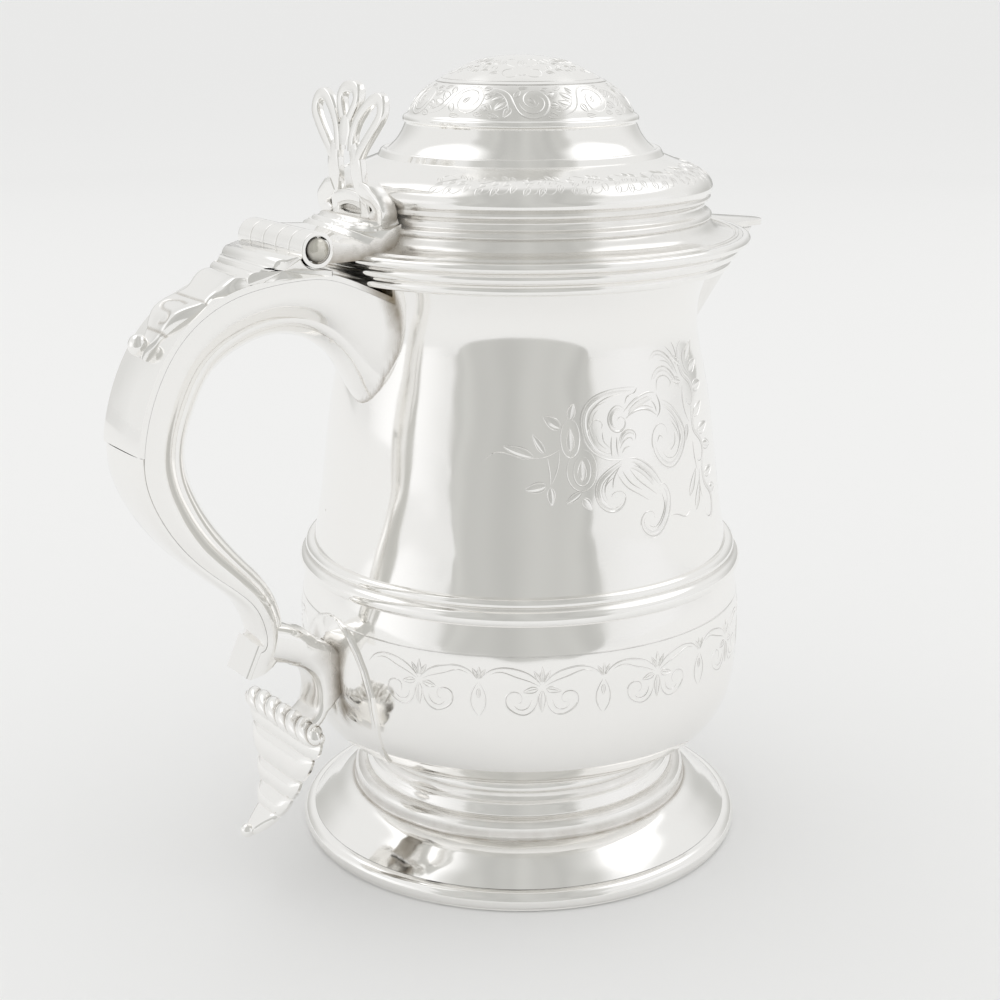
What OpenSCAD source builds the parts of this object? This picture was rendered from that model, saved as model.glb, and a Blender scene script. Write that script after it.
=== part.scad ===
// Silver lidded jug: a baluster body on a moulded foot, a beak spout, a hollow double-scroll handle
// and a domed lid on a five-knuckle hinge with a pierced thumbpiece.
// Millimetres. The origin is the centre of the foot on the table, +Z is up,
// the handle lies towards -X and the spout towards +X.

/* [Body] */
// Height of the lip, where the lid rests
lip_z = 153; // [148:0.5:158]
// Outer radius of the body's wall at the mouth
mouth_r = 49.4; // [48:0.2:51]
// How far the neck is drawn in from the mouth
neck_in = 5.3; // [4.5:0.1:6.5]
// Height of the neck below the lip
neck_drop = 13; // [11:0.5:15]
// How far the body at the girdle moulding lies inside the belly's widest circle
girdle_in = 2.8; // [1.6:0.1:4]
// Height of the girdle moulding's middle
girdle_z = 75; // [71:0.5:79]
// Greatest radius of the belly
belly_r = 56.2; // [54:0.2:59]
// Height of the belly's widest circle
belly_z = 52; // [49:0.5:55]
// Thickness of the body's wall
wall = 1.1; // [0.8:0.1:1.6]

/* [Applied mouldings] */
// Radius of the lip moulding's lower reed
lip_low_reed = 1.35; // [1:0.05:1.6]
// Radius of the lip moulding's upper reed
lip_top_reed = 1.5; // [1.2:0.05:1.8]
// How far the lip moulding stands out from the wall
lip_stand = 4; // [3:0.1:5]
// Radius of the girdle's lower reed
girdle_low_reed = 2; // [1.6:0.05:2.3]
// Radius of the girdle's upper reed
girdle_top_reed = 1.3; // [1:0.05:1.6]
// How far the centres of the girdle's reeds stand out from the wall
girdle_stand = 0.5; // [0.4:0.05:0.8]
// Gap that solder fills between applied pieces
solder = 0.05; // [0.02:0.01:0.1]

/* [Foot] */
// Height of the foot, up to the body's base
foot_h = 26.4; // [24:0.2:28]
// Radius of the joint between the body and the foot
joint_r = 38.5; // [36:0.2:41]
// Height of the flat joint between the foot and its collar
collar_z = 17.2; // [16:0.2:18.4]
// Radius of the foot's step
step_r = 43.4; // [42.4:0.2:45]
// Height of the step's top
step_z = 11.8; // [11:0.1:12.6]
// Height of the step's upright face
step_h = 2.4; // [2:0.1:2.8]
// Radius of the foot at its rim
rim_r = 57.3; // [55:0.2:60]
// Height of the rim wire
rim_h = 4.8; // [4:0.1:5.6]
// Thickness of the collar between the body and the foot, inside its reeds
collar_wall = 2; // [1.6:0.1:2.4]
// Width of the rim wire's flat underside and of its seat
rim_w = 4.6; // [4.2:0.1:5]
// Thickness of the foot's wall
foot_wall = 1.1; // [0.9:0.1:1.5]

/* [Spout] */
// How far the spout's tip stands out from the mouth
spout_out = 26.1; // [22:0.1:30]
// Half the width of the spout at the mouth
spout_half = 14; // [12.5:0.5:15.5]
// Height below the lip at which the keel leaves the body
spout_drop = 40; // [36:0.5:44]
// Depth of the spout's nose below its rim
nose_h = 5; // [4:0.2:7]
// Fall of the spout's rim from the lip to the tip
rim_fall = 2.6; // [2:0.1:3.2]
// Thickness of the spout's wall
spout_wall = 1.2; // [1:0.1:1.8]

/* [Lid] */
// How far the lid's flange reaches beyond the mouth's wall
lid_over = 6.6; // [5.6:0.1:8]
// Height of the lid above the lip
lid_h = 44; // [42:0.5:47]
// Width of the flange outside the lid's shoulder
flange_w = 9.6; // [9:0.1:10.4]
// How far the dome's lower line lies inside the shoulder
dome_in = 18.8; // [17.6:0.2:20]
// Thickness of the lid's wall
lid_wall = 1; // [0.8:0.1:1.5]
// Thickness of the flange at its edge
flange_t = 2.1; // [1.8:0.1:2.4]
// Clearance under the closed lid
lid_gap = 0.1; // [0.05:0.05:0.3]
// Depth of the bezel inside the mouth
bezel_h = 4.5; // [3.5:0.1:5.5]
// Thickness of the bezel
bezel_t = 1.1; // [0.9:0.1:1.5]
// Clearance round the bezel
bezel_gap = 0.8; // [0.6:0.1:1.4]
// How far the lid's tongue reaches past the spout's tip
tongue_over = 2.5; // [1.5:0.1:3.5]
// Thickness of the tongue
tongue_t = 1.5; // [1.1:0.1:1.9]
// Radius of the tongue's arch
tongue_arch = 44; // [40:1:50]
// Height of the arch inside the tongue above the lip
tongue_rise = 1.5; // [1.4:0.1:2]

/* [Hinge] */
// Distance of the hinge's axis beyond the flange
hinge_out = 9; // [8.4:0.1:10]
// Height of the hinge's axis above the lip
hinge_up = 4.5; // [4.3:0.1:5]
// Radius of the knuckles
knuckle_r = 4; // [3.7:0.1:4.1]
// Length of one knuckle
knuckle_l = 6.1; // [5.5:0.1:6.6]
// Gap between knuckles, and round the lid's knuckles
knuckle_gap = 0.4; // [0.3:0.05:0.5]
// Radius of the hinge pin
pin_r = 1.5; // [1.2:0.05:1.8]
// Radial clearance of the pin in the lid's knuckles
pin_fit = 0.05; // [0.03:0.01:0.08]
// Radius of the cap over each end of the pin
cap_r = 2.9; // [2.6:0.05:3.1]
// Depth of a cap in its knuckle
cap_depth = 1.6; // [1.2:0.1:2]
// Rise of a cap's dome
cap_rise = 0.9; // [0.6:0.1:1.2]

/* [Thumbpiece] */
// Height of the thumbpiece above its plate
thumb_h = 31.5; // [29:0.5:34]
// Half the width of the thumbpiece at its head
thumb_half = 16; // [14.5:0.5:17]
// Thickness of the thumbpiece
thumb_t = 2.2; // [1.8:0.1:2.6]
// Length of the scalloped fan at its base
fan_l = 7.5; // [6.5:0.1:8.2]
// Height of the fan
fan_h = 4.6; // [4:0.1:5.4]

/* [Handle] */
// How far the handle's back stands out from the belly
handle_out = 50.8; // [48:0.2:54]
// Height of the handle from its top to its cut end
handle_h = 94.4; // [92:0.2:97]
// Half the width of the handle's back
handle_half = 9.5; // [8.5:0.1:10.5]
// Half the width of the handle at its cut end
handle_end_half = 5.2; // [4.6:0.1:5.8]
// Thickness of the back strap
strap_t = 1.5; // [1.2:0.1:1.9]
// Thickness of the hollow channel's wall
channel_wall = 1.2; // [0.9:0.1:1.5]
// Thickness of the plate that closes the cut end
end_t = 1.2; // [0.9:0.1:1.6]
// Thickness of the hinge seat where it starts on the strap
seat_t = 2; // [1.8:0.1:2.3]
// Thickness of the leaf on the handle's back
leaf_t = 1.8; // [1.4:0.1:2.2]
// Radius of the bead at the leaf's end
bead_r = 2.6; // [2.2:0.1:3]

/* [Lower handle] */
// Thickness of the patch under the lower scroll
patch_t = 1.5; // [1.2:0.1:2]
// Half the width of the patch
patch_half = 20; // [18:0.5:22]
// Height of the patch's arched top
patch_top = 66.5; // [64:0.5:69]
// Half the width of the lower scroll
scroll_half = 5.6; // [5:0.1:6.4]
// Half the length of the gadrooned roll
roll_half = 18; // [16:0.5:19.5]
// Radius of the roll's lobes
roll_r = 3; // [2.6:0.1:3.4]
// Number of lobes on the roll
roll_lobes = 7; // [5:1:9]
// Length of the tail leaf, from the roll down to its tip
tail_l = 27.5; // [25:0.5:29]
// Thickness of the tail leaf
tail_t = 2.4; // [2:0.1:3]

/* [Hidden] */
$fn = 96;
eps = 0.01;
silver = "#d9d7d2";
tarnished = "#8d897f";

// Smooth curve through points: a Catmull-Rom spline with n steps in each span
function cr(a, b, c, d, t) =
    0.5 * (2 * b + (c - a) * t + (2 * a - 5 * b + 4 * c - d) * t * t + (3 * b - a - 3 * c + d) * t * t * t);
function spline(p, n) = [
    for (i = [0 : len(p) - 2], k = [0 : n - 1])
        cr(p[max(i - 1, 0)], p[i], p[i + 1], p[min(i + 2, len(p) - 1)], k / n),
    p[len(p) - 1]
];
function arc(c, r, a0, a1, n) = [
    for (i = [0 : n]) let (a = a0 + (a1 - a0) * i / n) c + r * [cos(a), sin(a)]
];
function rev(p) = [for (i = [len(p) - 1 : -1 : 0]) p[i]];
function unit(v) = v / norm(v);
// The outline moved by d to the left of its own direction
function moved(p, d) = [
    for (i = [0 : len(p) - 1])
        let (t = unit(p[min(i + 1, len(p) - 1)] - p[max(i - 1, 0)])) p[i] + d * [-t[1], t[0]]
];
function mix(a, b, t) = a + (b - a) * t;

// The body's outside, from the joint with the foot to the lip, as [radius, height]
neck_r = mouth_r - neck_in;
girdle_r = belly_r - girdle_in;
neck_z = lip_z - neck_drop;
body_line = spline([
    [joint_r, foot_h],
    [mix(joint_r, belly_r, 0.46), foot_h + 2],
    [belly_r - 4.4, foot_h + 6.6],
    [belly_r - 1, belly_z - 11.5],
    [belly_r, belly_z],
    [girdle_r + 2.2, girdle_z - 9],
    [girdle_r, girdle_z],
    [mix(neck_r, girdle_r, 0.66), mix(girdle_z, neck_z, 0.26)],
    [mix(neck_r, girdle_r, 0.22), mix(girdle_z, neck_z, 0.7)],
    [neck_r, neck_z],
    [mix(neck_r, mouth_r, 0.42), mix(neck_z, lip_z, 0.5)],
    [mouth_r, lip_z]
], 4);
body_table = [for (p = body_line) [p[1], p[0]]];
function body_r(z) = lookup(z, body_table);
// The body's outside between two heights, upwards, with d added to its radius
function body_fit(z0, z1, d) = concat(
    [[body_r(z0) + d, z0]],
    [for (p = body_line) if (p[1] > z0 + eps && p[1] < z1 - eps) [p[0] + d, p[1]]],
    [[body_r(z1) + d, z1]]
);

// Heights of the lip moulding's reeds
lip_top_z = lip_z - lip_top_reed;
lip_low_z = lip_z - 2 * lip_top_reed - lip_low_reed;
lip_base_z = lip_low_z - lip_low_reed;
lip_r = mouth_r + lip_stand;
lip_low_r = body_r(lip_low_z) + lip_stand - lip_top_reed;

spout_reach = mouth_r + spout_out;

// Lid levels and radii
lid_r = mouth_r + lid_over;
shoulder_r = lid_r - flange_w;
dome_r = shoulder_r - dome_in;
flange_z = lip_z + lid_gap;
lid_top = lip_z + lid_h;
flange_top = flange_z + flange_t;
rim_wire_r = flange_t * 0.9;
lid_edge = lid_r - rim_wire_r;
bezel_r = body_r(lip_z - bezel_h) - wall - bezel_gap;
ledge = 0.4;
ledge_r = bezel_r - bezel_t - ledge;

// Hinge levels
hinge_x = lid_r + hinge_out;
hinge_z = lip_z + hinge_up;
hinge_half = 2.5 * knuckle_l;
plate_top = hinge_z + 0.8 * knuckle_r;
plate_half = hinge_half;

// The lid's outside from the flange's edge up to the crown
lid_line = concat(
    spline([
        [lid_edge, flange_top],
        [lid_edge - 5, flange_top + 0.7],
        [shoulder_r - 0.2, flange_top + 2.1],
        [shoulder_r - 1.4, flange_top + 4.6],
        [shoulder_r - 1.7, flange_top + 6.4],
        [shoulder_r - 0.7, flange_top + 8],
        [shoulder_r, flange_top + 10.2],
        [shoulder_r - 0.8, flange_top + 12.6],
        [shoulder_r - 3.4, flange_top + 15],
        [shoulder_r - 8, flange_top + 16.8],
        [shoulder_r - 12.4, flange_top + 18.4],
        [dome_r + 2.8, flange_top + 21.2],
        [dome_r + 1, flange_top + 24],
        [dome_r, lid_top - 15.4]
    ], 3),
    spline([
        [dome_r - 0.3, lid_top - 13.8],
        [dome_r - 2.4, lid_top - 10.4],
        [dome_r - 7.4, lid_top - 6.1],
        [dome_r * 0.49, lid_top - 2.5],
        [dome_r * 0.24, lid_top - 0.6],
        [0, lid_top]
    ], 3)
);

// The handle in its own plane: back and inner face, as [x, z, x, z, half width].
// x is measured from the axis, and z below the top of the handle; hu is one millimetre of its drawing.
top_z = hinge_z - knuckle_r - seat_t;
reach = belly_r + handle_out;
hu = handle_h / 94.4;
sides = handle_half;
ends = handle_end_half;
handle_points = [
    [neck_r - 6 * hu, -10 * hu, neck_r - 6 * hu, -42.5 * hu, sides + 3],
    [neck_r + 6.9 * hu, -3.6 * hu, neck_r + 3.9 * hu, -31.4 * hu, sides + 1],
    [hinge_x - 6 * hu, -0.6 * hu, neck_r + 9.4 * hu, -22 * hu, sides],
    [hinge_x + 2 * hu, 0, neck_r + 17.9 * hu, -15.8 * hu, sides],
    [hinge_x + 11 * hu, -0.8 * hu, reach - 35.7 * hu, -14.5 * hu, sides],
    [reach - 21 * hu, -3.5 * hu, reach - 27.6 * hu, -17 * hu, sides],
    [reach - 11.5 * hu, -9.9 * hu, reach - 21.4 * hu, -21.3 * hu, sides],
    [reach - 4.8 * hu, -19.5 * hu, reach - 17.2 * hu, -28.5 * hu, sides],
    [reach - 1 * hu, -30 * hu, reach - 14.6 * hu, -36.3 * hu, sides],
    [reach, -40.5 * hu, reach - 14.7 * hu, -43 * hu, sides],
    [reach - 3.4 * hu, -51 * hu, reach - 17.3 * hu, -50.2 * hu, mix(ends, sides, 0.9)],
    [reach - 11 * hu, -62 * hu, reach - 22.4 * hu, -58.9 * hu, mix(ends, sides, 0.65)],
    [reach - 20 * hu, -70.5 * hu, reach - 28.4 * hu, -66.5 * hu, mix(ends, sides, 0.4)],
    [reach - 26 * hu, -76.3 * hu, reach - 33.2 * hu, -72.5 * hu, mix(ends, sides, 0.22)],
    [reach - 28.7 * hu, -81.1 * hu, reach - 36.4 * hu, -79.3 * hu, mix(ends, sides, 0.1)],
    [reach - 29.7 * hu, -84.5 * hu, reach - 37 * hu, -85.5 * hu, ends],
    [reach - 30 * hu, -86.2 * hu, reach - 34.5 * hu, -91.7 * hu, ends],
    [reach - 29.9 * hu, -87 * hu, reach - 26.4 * hu, -94.4 * hu, ends]
];
span_steps = 3;
handle_line = spline(handle_points, span_steps);
seam_span = 8.6;
seam_at = round(seam_span * span_steps);
last_at = len(handle_line) - 1;
function back_at(i) = [-handle_line[i][0], top_z + handle_line[i][1]];
function inner_at(i) = [-handle_line[i][2], top_z + handle_line[i][3]];
function half_at(i) = handle_line[i][4];
function depth_at(i) = norm(inner_at(i) - back_at(i));
// A point of the handle's section: u across in half widths, v inwards in millimetres
function handle_point(i, u, v) =
    let (b = back_at(i), d = unit(inner_at(i) - b), p = b + d * v) [p[0], u * half_at(i), p[1]];
// Half of the channel's outline from the back edge to the middle of the inner face:
// shares of the half width and of the depth, with an arris where the side meets the inner face
channel_half = [[1, 0], [0.98, 0.2], [0.9, 0.42], [0.68, 0.64], [0.54, 0.84], [0.28, 0.965], [0, 1]];
function both_sides(h) = concat(h, [for (i = [len(h) - 2 : -1 : 0]) [-h[i][0], h[i][1]]]);
channel_outline = both_sides(channel_half);

// Triangles of a solid swept through rings of equal length. Each end is closed by a strip between
// the first half of its ring and the second, so a U-shaped ring closes as well as a round one.
function strip(n) = let (h = floor(n / 2) - 2) concat(
    [for (k = [0 : h]) each [[k, k + 1, n - 2 - k], [k, n - 2 - k, n - 1 - k]]],
    n % 2 == 1 ? [[h + 1, h + 2, h + 3]] : []
);
function ring_faces(rings, n) = let (e = (rings - 1) * n) concat(
    [for (i = [0 : rings - 2], k = [0 : n - 1]) [i * n + k, (i + 1) * n + k, (i + 1) * n + (k + 1) % n]],
    [for (i = [0 : rings - 2], k = [0 : n - 1]) [i * n + k, (i + 1) * n + (k + 1) % n, i * n + (k + 1) % n]],
    strip(n),
    [for (f = strip(n)) [e + f[2], e + f[1], e + f[0]]]
);
module swept(rings) {
    faces = ring_faces(len(rings), len(rings[0]));
    polyhedron(points = [for (r = rings, p = r) p], faces = faces, convexity = 8);
}

// A shape drawn as [x, z] and carried along Y, half to each side
module across(half) {
    rotate([90, 0, 0]) linear_extrude(height = 2 * half, center = true) children();
}
// A cylinder on the hinge's axis from y0 to y1
module hinge_rod(r, y0, y1) {
    translate([-hinge_x, y1, hinge_z]) rotate([90, 0, 0]) cylinder(r = r, h = y1 - y0);
}
// The whole body, filled, with room for solder: what applied pieces are cut back to
module body_room(extra) {
    rotate_extrude() polygon(concat(
        [[0, foot_h]],
        [for (p = body_line) [p[0] + extra, p[1]]],
        [[0, lip_z]]
    ));
}
module lip_room() {
    rotate_extrude() polygon([
        [0, lip_base_z - solder],
        [lip_low_r + solder, lip_base_z - solder],
        [lip_low_r + solder, lip_z - 2 * lip_top_reed - solder],
        [lip_r + solder, lip_z - 2 * lip_top_reed - solder],
        [lip_r + solder, lip_z],
        [0, lip_z]
    ]);
}
// The whole lid, filled, with room for solder
module lid_room() {
    rotate_extrude() polygon(concat(
        [[0, flange_z - solder], [lid_r + solder, flange_z - solder], [lid_r + solder, flange_top + solder]],
        [for (p = lid_line) [p[0] + (p[0] > 0 ? solder : 0), p[1] + solder]]
    ));
}

// Body

module body_barrel() {
    inside = moved(body_line, wall);
    color(silver) difference() {
        rotate_extrude() polygon(concat(
            [[0, foot_h]],
            [for (i = [0 : len(body_line) - 2]) body_line[i]],
            [[mouth_r, lip_z], [mouth_r - wall, lip_z]],
            rev([for (i = [0 : len(inside) - 2]) inside[i]]),
            [[0, foot_h + wall]]
        ));
        beak(spout_wall, 2 * spout_wall);
    }
}

module lip_moulding() {
    low_c = [lip_low_r - lip_low_reed, lip_low_z];
    top_c = [lip_r - lip_top_reed, lip_top_z];
    color(silver) difference() {
        rotate_extrude() polygon(concat(
            rev(body_fit(lip_base_z, lip_z, solder)),
            arc(low_c, lip_low_reed, -80, 60, 8),
            arc(top_c, lip_top_reed, -60, 90, 8)
        ));
        for (lift = [0, 2 * lid_gap]) beak(-solder, lift);
    }
}

module girdle_moulding() {
    low_z = girdle_z - girdle_top_reed;
    upper_z = low_z + girdle_low_reed + girdle_top_reed;
    base_z = low_z - girdle_low_reed;
    head_z = upper_z + girdle_top_reed;
    color(silver) rotate_extrude() polygon(concat(
        rev(body_fit(base_z, head_z, solder)),
        arc([body_r(low_z) + girdle_stand, low_z], girdle_low_reed, -80, 80, 10),
        arc([body_r(upper_z) + girdle_stand, upper_z], girdle_top_reed, -80, 80, 8)
    ));
}

// The spout's outer shape; an inset and a lift give its hollow, open at the top
module beak(inset, lift) {
    side = inset * 1.2;
    run_z = lip_z - spout_drop;
    nose_z = lip_z - rim_fall - nose_h;
    keel_x = body_r(run_z);
    nose_x = spout_reach - 3 - inset;
    slope = (nose_z - run_z) / (spout_reach - 3 - keel_x);
    root_x = keel_x - 9;
    back_half = spout_half * (spout_reach - root_x) / (spout_reach - mouth_r) - side;
    up = lip_z - lid_gap + lift;
    tip_up = lip_z - rim_fall + lift;
    low = inset * 1.4;
    points = [
        for (s = [-1, 1]) each [
            [root_x, s * back_half, up],
            [nose_x + 0.6, s * 3.4 - s * side, tip_up],
            [nose_x + 3, s * 0.9, tip_up],
            [nose_x, s * 0.9, nose_z + low],
            [root_x, s * 0.9, nose_z - slope * (spout_reach - 3 - root_x) + low],
            [root_x, s * back_half, up - 3.4]
        ]
    ];
    hull() polyhedron(points = points, faces = [[for (i = [0 : len(points) - 1]) i]]);
}

module spout() {
    color(silver) difference() {
        beak(0, 0);
        beak(spout_wall, 2 * spout_wall);
        body_room(solder);
    }
}

// Foot

module foot_collar() {
    bead = 2.1;
    hollow_r = joint_r - collar_wall;
    color(silver) rotate_extrude() polygon(concat(
        [[hollow_r, collar_z], [joint_r + 1.2, collar_z]],
        arc([joint_r - 0.9, collar_z + bead + 0.4], bead, -60, 70, 8),
        arc([joint_r - bead, foot_h - bead], bead, -70, 90, 8),
        [[hollow_r, foot_h]]
    ));
}

module foot() {
    hollow_r = joint_r - collar_wall;
    top_r = joint_r + 1.2;
    slope = spline([
        [step_r + 0.6, step_z - step_h],
        [mix(step_r, rim_r, 0.3), step_z - 3],
        [mix(step_r, rim_r, 0.6), step_z - 4.6],
        [rim_r - 2.9, rim_h]
    ], 4);
    bead_c = [mix(top_r, step_r, 0.28), mix(collar_z, step_z, 0.5)];
    outside = concat(
        [[top_r, collar_z]],
        arc(bead_c, (collar_z - step_z) / 2, 75, -75, 8),
        [[step_r, step_z], [step_r, step_z - step_h]],
        slope
    );
    inside = concat(
        [[hollow_r, collar_z], [hollow_r + foot_wall, step_z + foot_wall / 2]],
        [[step_r - foot_wall, step_z - foot_wall], [step_r - foot_wall, step_z - step_h - foot_wall]],
        [for (i = [4 : len(slope) - 1]) [slope[i][0] - foot_wall, max(slope[i][1] - foot_wall, rim_h)]]
    );
    color(silver) rotate_extrude() polygon(concat(outside, rev(inside)));
}

module foot_rim_wire() {
    inner_r = rim_r - rim_w;
    round_r = rim_h / 2;
    color(silver) rotate_extrude() polygon(concat(
        [[inner_r, 0], [rim_r - 0.9, 0]],
        arc([rim_r - round_r, round_r], round_r, -50, 90, 10),
        [[inner_r, rim_h]]
    ));
}

// Lid

module lid_dome() {
    crown = len(lid_line) - 1;
    inside = moved(lid_line, lid_wall);
    low_z = flange_top + 4;
    hollow = [for (i = [0 : crown - 1]) if (inside[i][1] > low_z && inside[i][0] > lid_wall) inside[i]];
    color(silver) rotate_extrude() polygon(concat(
        [[ledge_r, flange_z], [lid_edge, flange_z]],
        lid_line,
        [[0, lid_top - lid_wall]],
        rev(hollow),
        [[ledge_r, flange_top + 2]]
    ));
}

module lid_rim_wire() {
    mid = flange_t / 2;
    color(silver) rotate_extrude() polygon(concat(
        [[lid_edge + solder, flange_z], [lid_r - mid, flange_z]],
        arc([lid_r - mid, flange_z + mid], mid, -60, 90, 8),
        [[lid_edge + solder, flange_top]]
    ));
}

module lid_bezel() {
    color(silver) rotate_extrude() polygon([
        [bezel_r - bezel_t, lip_z - bezel_h],
        [bezel_r - 0.5, lip_z - bezel_h],
        [bezel_r, lip_z - bezel_h + 0.8],
        [bezel_r, flange_z - solder],
        [bezel_r - bezel_t, flange_z - solder]
    ]);
}

// The tongue is part of an arched roof that falls towards the spout's tip
module lid_spout_tongue() {
    tip_x = spout_reach + tongue_over;
    nose = 5.6;
    fall = atan(1.2 * rim_fall / (spout_reach - mouth_r));
    span = spout_reach;
    arch_z = flange_z + tongue_t + tongue_rise - tongue_arch;
    plan = concat(
        [[lid_r - 8, -spout_half - 1.5], [lid_r - 1, -spout_half + 1]],
        arc([tip_x - nose, 0], nose, -62, 62, 10),
        [[lid_r - 1, spout_half - 1], [lid_r - 8, spout_half + 1.5]]
    );
    color(silver) difference() {
        intersection() {
            translate([0, 0, lip_z - nose]) linear_extrude(height = 2 * nose) polygon(plan);
            translate([mouth_r, 0, arch_z]) rotate([0, 90 + fall, 0]) difference() {
                cylinder(r = tongue_arch, h = span, center = true);
                cylinder(r = tongue_arch - tongue_t, h = span + 1, center = true);
            }
        }
        lid_room();
        translate([0, 0, flange_z - nose]) cylinder(r = lip_r + knuckle_gap, h = nose);
    }
}

// Hinge

// The y at which knuckle i starts, counted from the near end, 0 to 4
function knuckle_y(i) = -hinge_half + i * knuckle_l;

module lid_hinge_plate() {
    side = knuckle_gap / 2;
    low = 0.82 * knuckle_r;
    plate_end = 0.945 * shoulder_r;
    color(silver) difference() {
        union() {
            difference() {
                across(plate_half - eps) polygon([
                    [-hinge_x + 1, hinge_z - low],
                    [-lid_r - 1, hinge_z - low],
                    [-lid_r + knuckle_r, flange_z + solder],
                    [-plate_end, flange_z + solder],
                    [-plate_end, plate_top],
                    [-fan_end - 1, plate_top],
                    [-hinge_x + 1, hinge_z + 0.9 * knuckle_r]
                ]);
                lid_room();
                for (i = [1, 3])
                    hinge_rod(knuckle_r + knuckle_gap, knuckle_y(i) - side, knuckle_y(i + 1) + side);
            }
            for (i = [0, 2, 4]) {
                near = knuckle_y(i) + (i > 0 ? side : 0);
                far = knuckle_y(i + 1) - (i < 4 ? side : 0);
                hinge_rod(knuckle_r, near, far);
            }
        }
        hinge_rod(pin_r + pin_fit, -hinge_half - 1, hinge_half + 1);
        for (s = [-1, 1]) {
            y = s > 0 ? hinge_half - cap_depth : -hinge_half - eps;
            hinge_rod(cap_r + solder, y, y + cap_depth + eps);
        }
    }
}

module hinge_pin_caps() {
    dome_r2 = (cap_r * cap_r + cap_rise * cap_rise) / (2 * cap_rise);
    color(tarnished) for (s = [-1, 1])
        translate([-hinge_x, s * (hinge_half - cap_depth + solder), hinge_z]) rotate([s > 0 ? -90 : 90, 0, 0])
            rotate_extrude() polygon(concat(
                [[0, 0], [cap_r, 0]],
                arc([0, cap_depth + cap_rise - dome_r2], dome_r2, 90 - asin(cap_r / dome_r2), 90, 8)
            ));
}

module hinge_pin() {
    color(tarnished) hinge_rod(pin_r, -hinge_half + cap_depth + 0.2, hinge_half - cap_depth - 0.2);
}

// The height of the handle's back above a distance x from the axis, near its top
back_table = [for (i = [2 * span_steps : 6 * span_steps]) [handle_line[i][0], top_z + handle_line[i][1]]];
function back_z(x) = lookup(x, back_table);

module hinge_seat() {
    side = knuckle_gap / 2;
    start_x = hinge_x - 4;
    end_x = handle_line[leaf_from][0] - solder;
    ridge = 1.8;
    color(silver) difference() {
        union() {
            difference() {
                across(hinge_half - eps) polygon(concat(
                    [for (i = [0 : 8]) let (x = mix(start_x, end_x, i / 8)) [-x, back_z(x) + solder]],
                    [[-end_x, back_z(end_x) + seat_t]],
                    arc([-end_x + 2, back_z(end_x) + seat_t], ridge, 160, 80, 4),
                    arc([-end_x + 4.6, back_z(end_x) + seat_t + 1.4], ridge, 160, 70, 4),
                    [[-hinge_x - 0.75 * knuckle_r, hinge_z - 0.5]],
                    [[-hinge_x, hinge_z - knuckle_r + 0.4], [-start_x, hinge_z - knuckle_r - 0.6]]
                ));
                for (i = [0, 2, 4]) {
                    near = knuckle_y(i) - (i > 0 ? side : 1);
                    far = knuckle_y(i + 1) + (i < 4 ? side : 1);
                    hinge_rod(knuckle_r + knuckle_gap, near, far);
                }
            }
            for (i = [1, 3]) hinge_rod(knuckle_r, knuckle_y(i) + side, knuckle_y(i + 1) - side);
        }
        hinge_rod(pin_r, -hinge_half - 1, hinge_half + 1);
    }
}

// Thumbpiece: the right half of its outline as [y, z] above its base, mirrored to the left
thumb_sink = 0.8;
thumb_x = shoulder_r - thumb_sink;
fan_end = thumb_x + thumb_t + solder + fan_l;
module thumb_outline() {
    w = thumb_half;
    h = thumb_h;
    curve = spline([
        [0, 0], [0.72 * w, 0], [0.8 * w, 0.1 * h], [0.98 * w, 0.2 * h], [0.86 * w, 0.28 * h],
        [0.5 * w, 0.3 * h],
        [0.42 * w, 0.42 * h], [0.56 * w, 0.56 * h], [0.84 * w, 0.68 * h], [w, 0.82 * h], [0.86 * w, 0.92 * h],
        [0.6 * w, 0.93 * h], [0.4 * w, 0.9 * h], [0.28 * w, 0.97 * h], [0, h]
    ], 4);
    half_line = [for (p = curve) [p[0], max(p[1], 0)]];
    polygon(concat(half_line, rev([for (p = half_line) if (p[0] > eps) [-p[0], p[1]]])));
}
module tear(c, long, wide, lean) {
    translate(c) rotate(lean) polygon(spline([
        [0, -long / 2], [wide * 0.3, -long * 0.1], [wide / 2, long * 0.22], [wide * 0.3, long * 0.45],
        [0, long / 2],
        [-wide * 0.3, long * 0.45], [-wide / 2, long * 0.22], [-wide * 0.3, -long * 0.1], [0, -long / 2]
    ], 3));
}
module thumbpiece() {
    w = thumb_half;
    h = thumb_h;
    color(silver) difference() {
        translate([-thumb_x, 0, plate_top + solder]) rotate([90, 0, -90]) linear_extrude(height = thumb_t)
        difference() {
            thumb_outline();
            for (s = [-1, 1]) {
                tear([s * 0.5 * w, 0.72 * h], 0.38 * h, 0.46 * w, -s * 24);
                tear([s * 0.4 * w, 0.15 * h], 0.16 * h, 0.2 * w, s * 18);
            }
            tear([0, 0.42 * h], 0.3 * h, 0.2 * w, 0);
            tear([0, 0.87 * h], 0.14 * h, 0.22 * w, 180);
        }
        lid_room();
    }
}

module thumbpiece_fan() {
    x0 = thumb_x + thumb_t + solder;
    z0 = plate_top + solder;
    step = fan_l / 3;
    ridge_from = 60;
    ridge_to = 150;
    color(silver) across(0.8 * thumb_half) polygon(concat(
        [[-x0, z0], [-x0, z0 + fan_h]],
        [for (i = [0 : 2]) let (c = [-x0 - (i + 0.5) * step, z0 + fan_h * (1 - (i + 1) / 3.4)])
            each arc(c, step / 2, ridge_from, ridge_to, 4)],
        [[-x0 - fan_l, z0]]
    ));
}

// Handle

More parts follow.
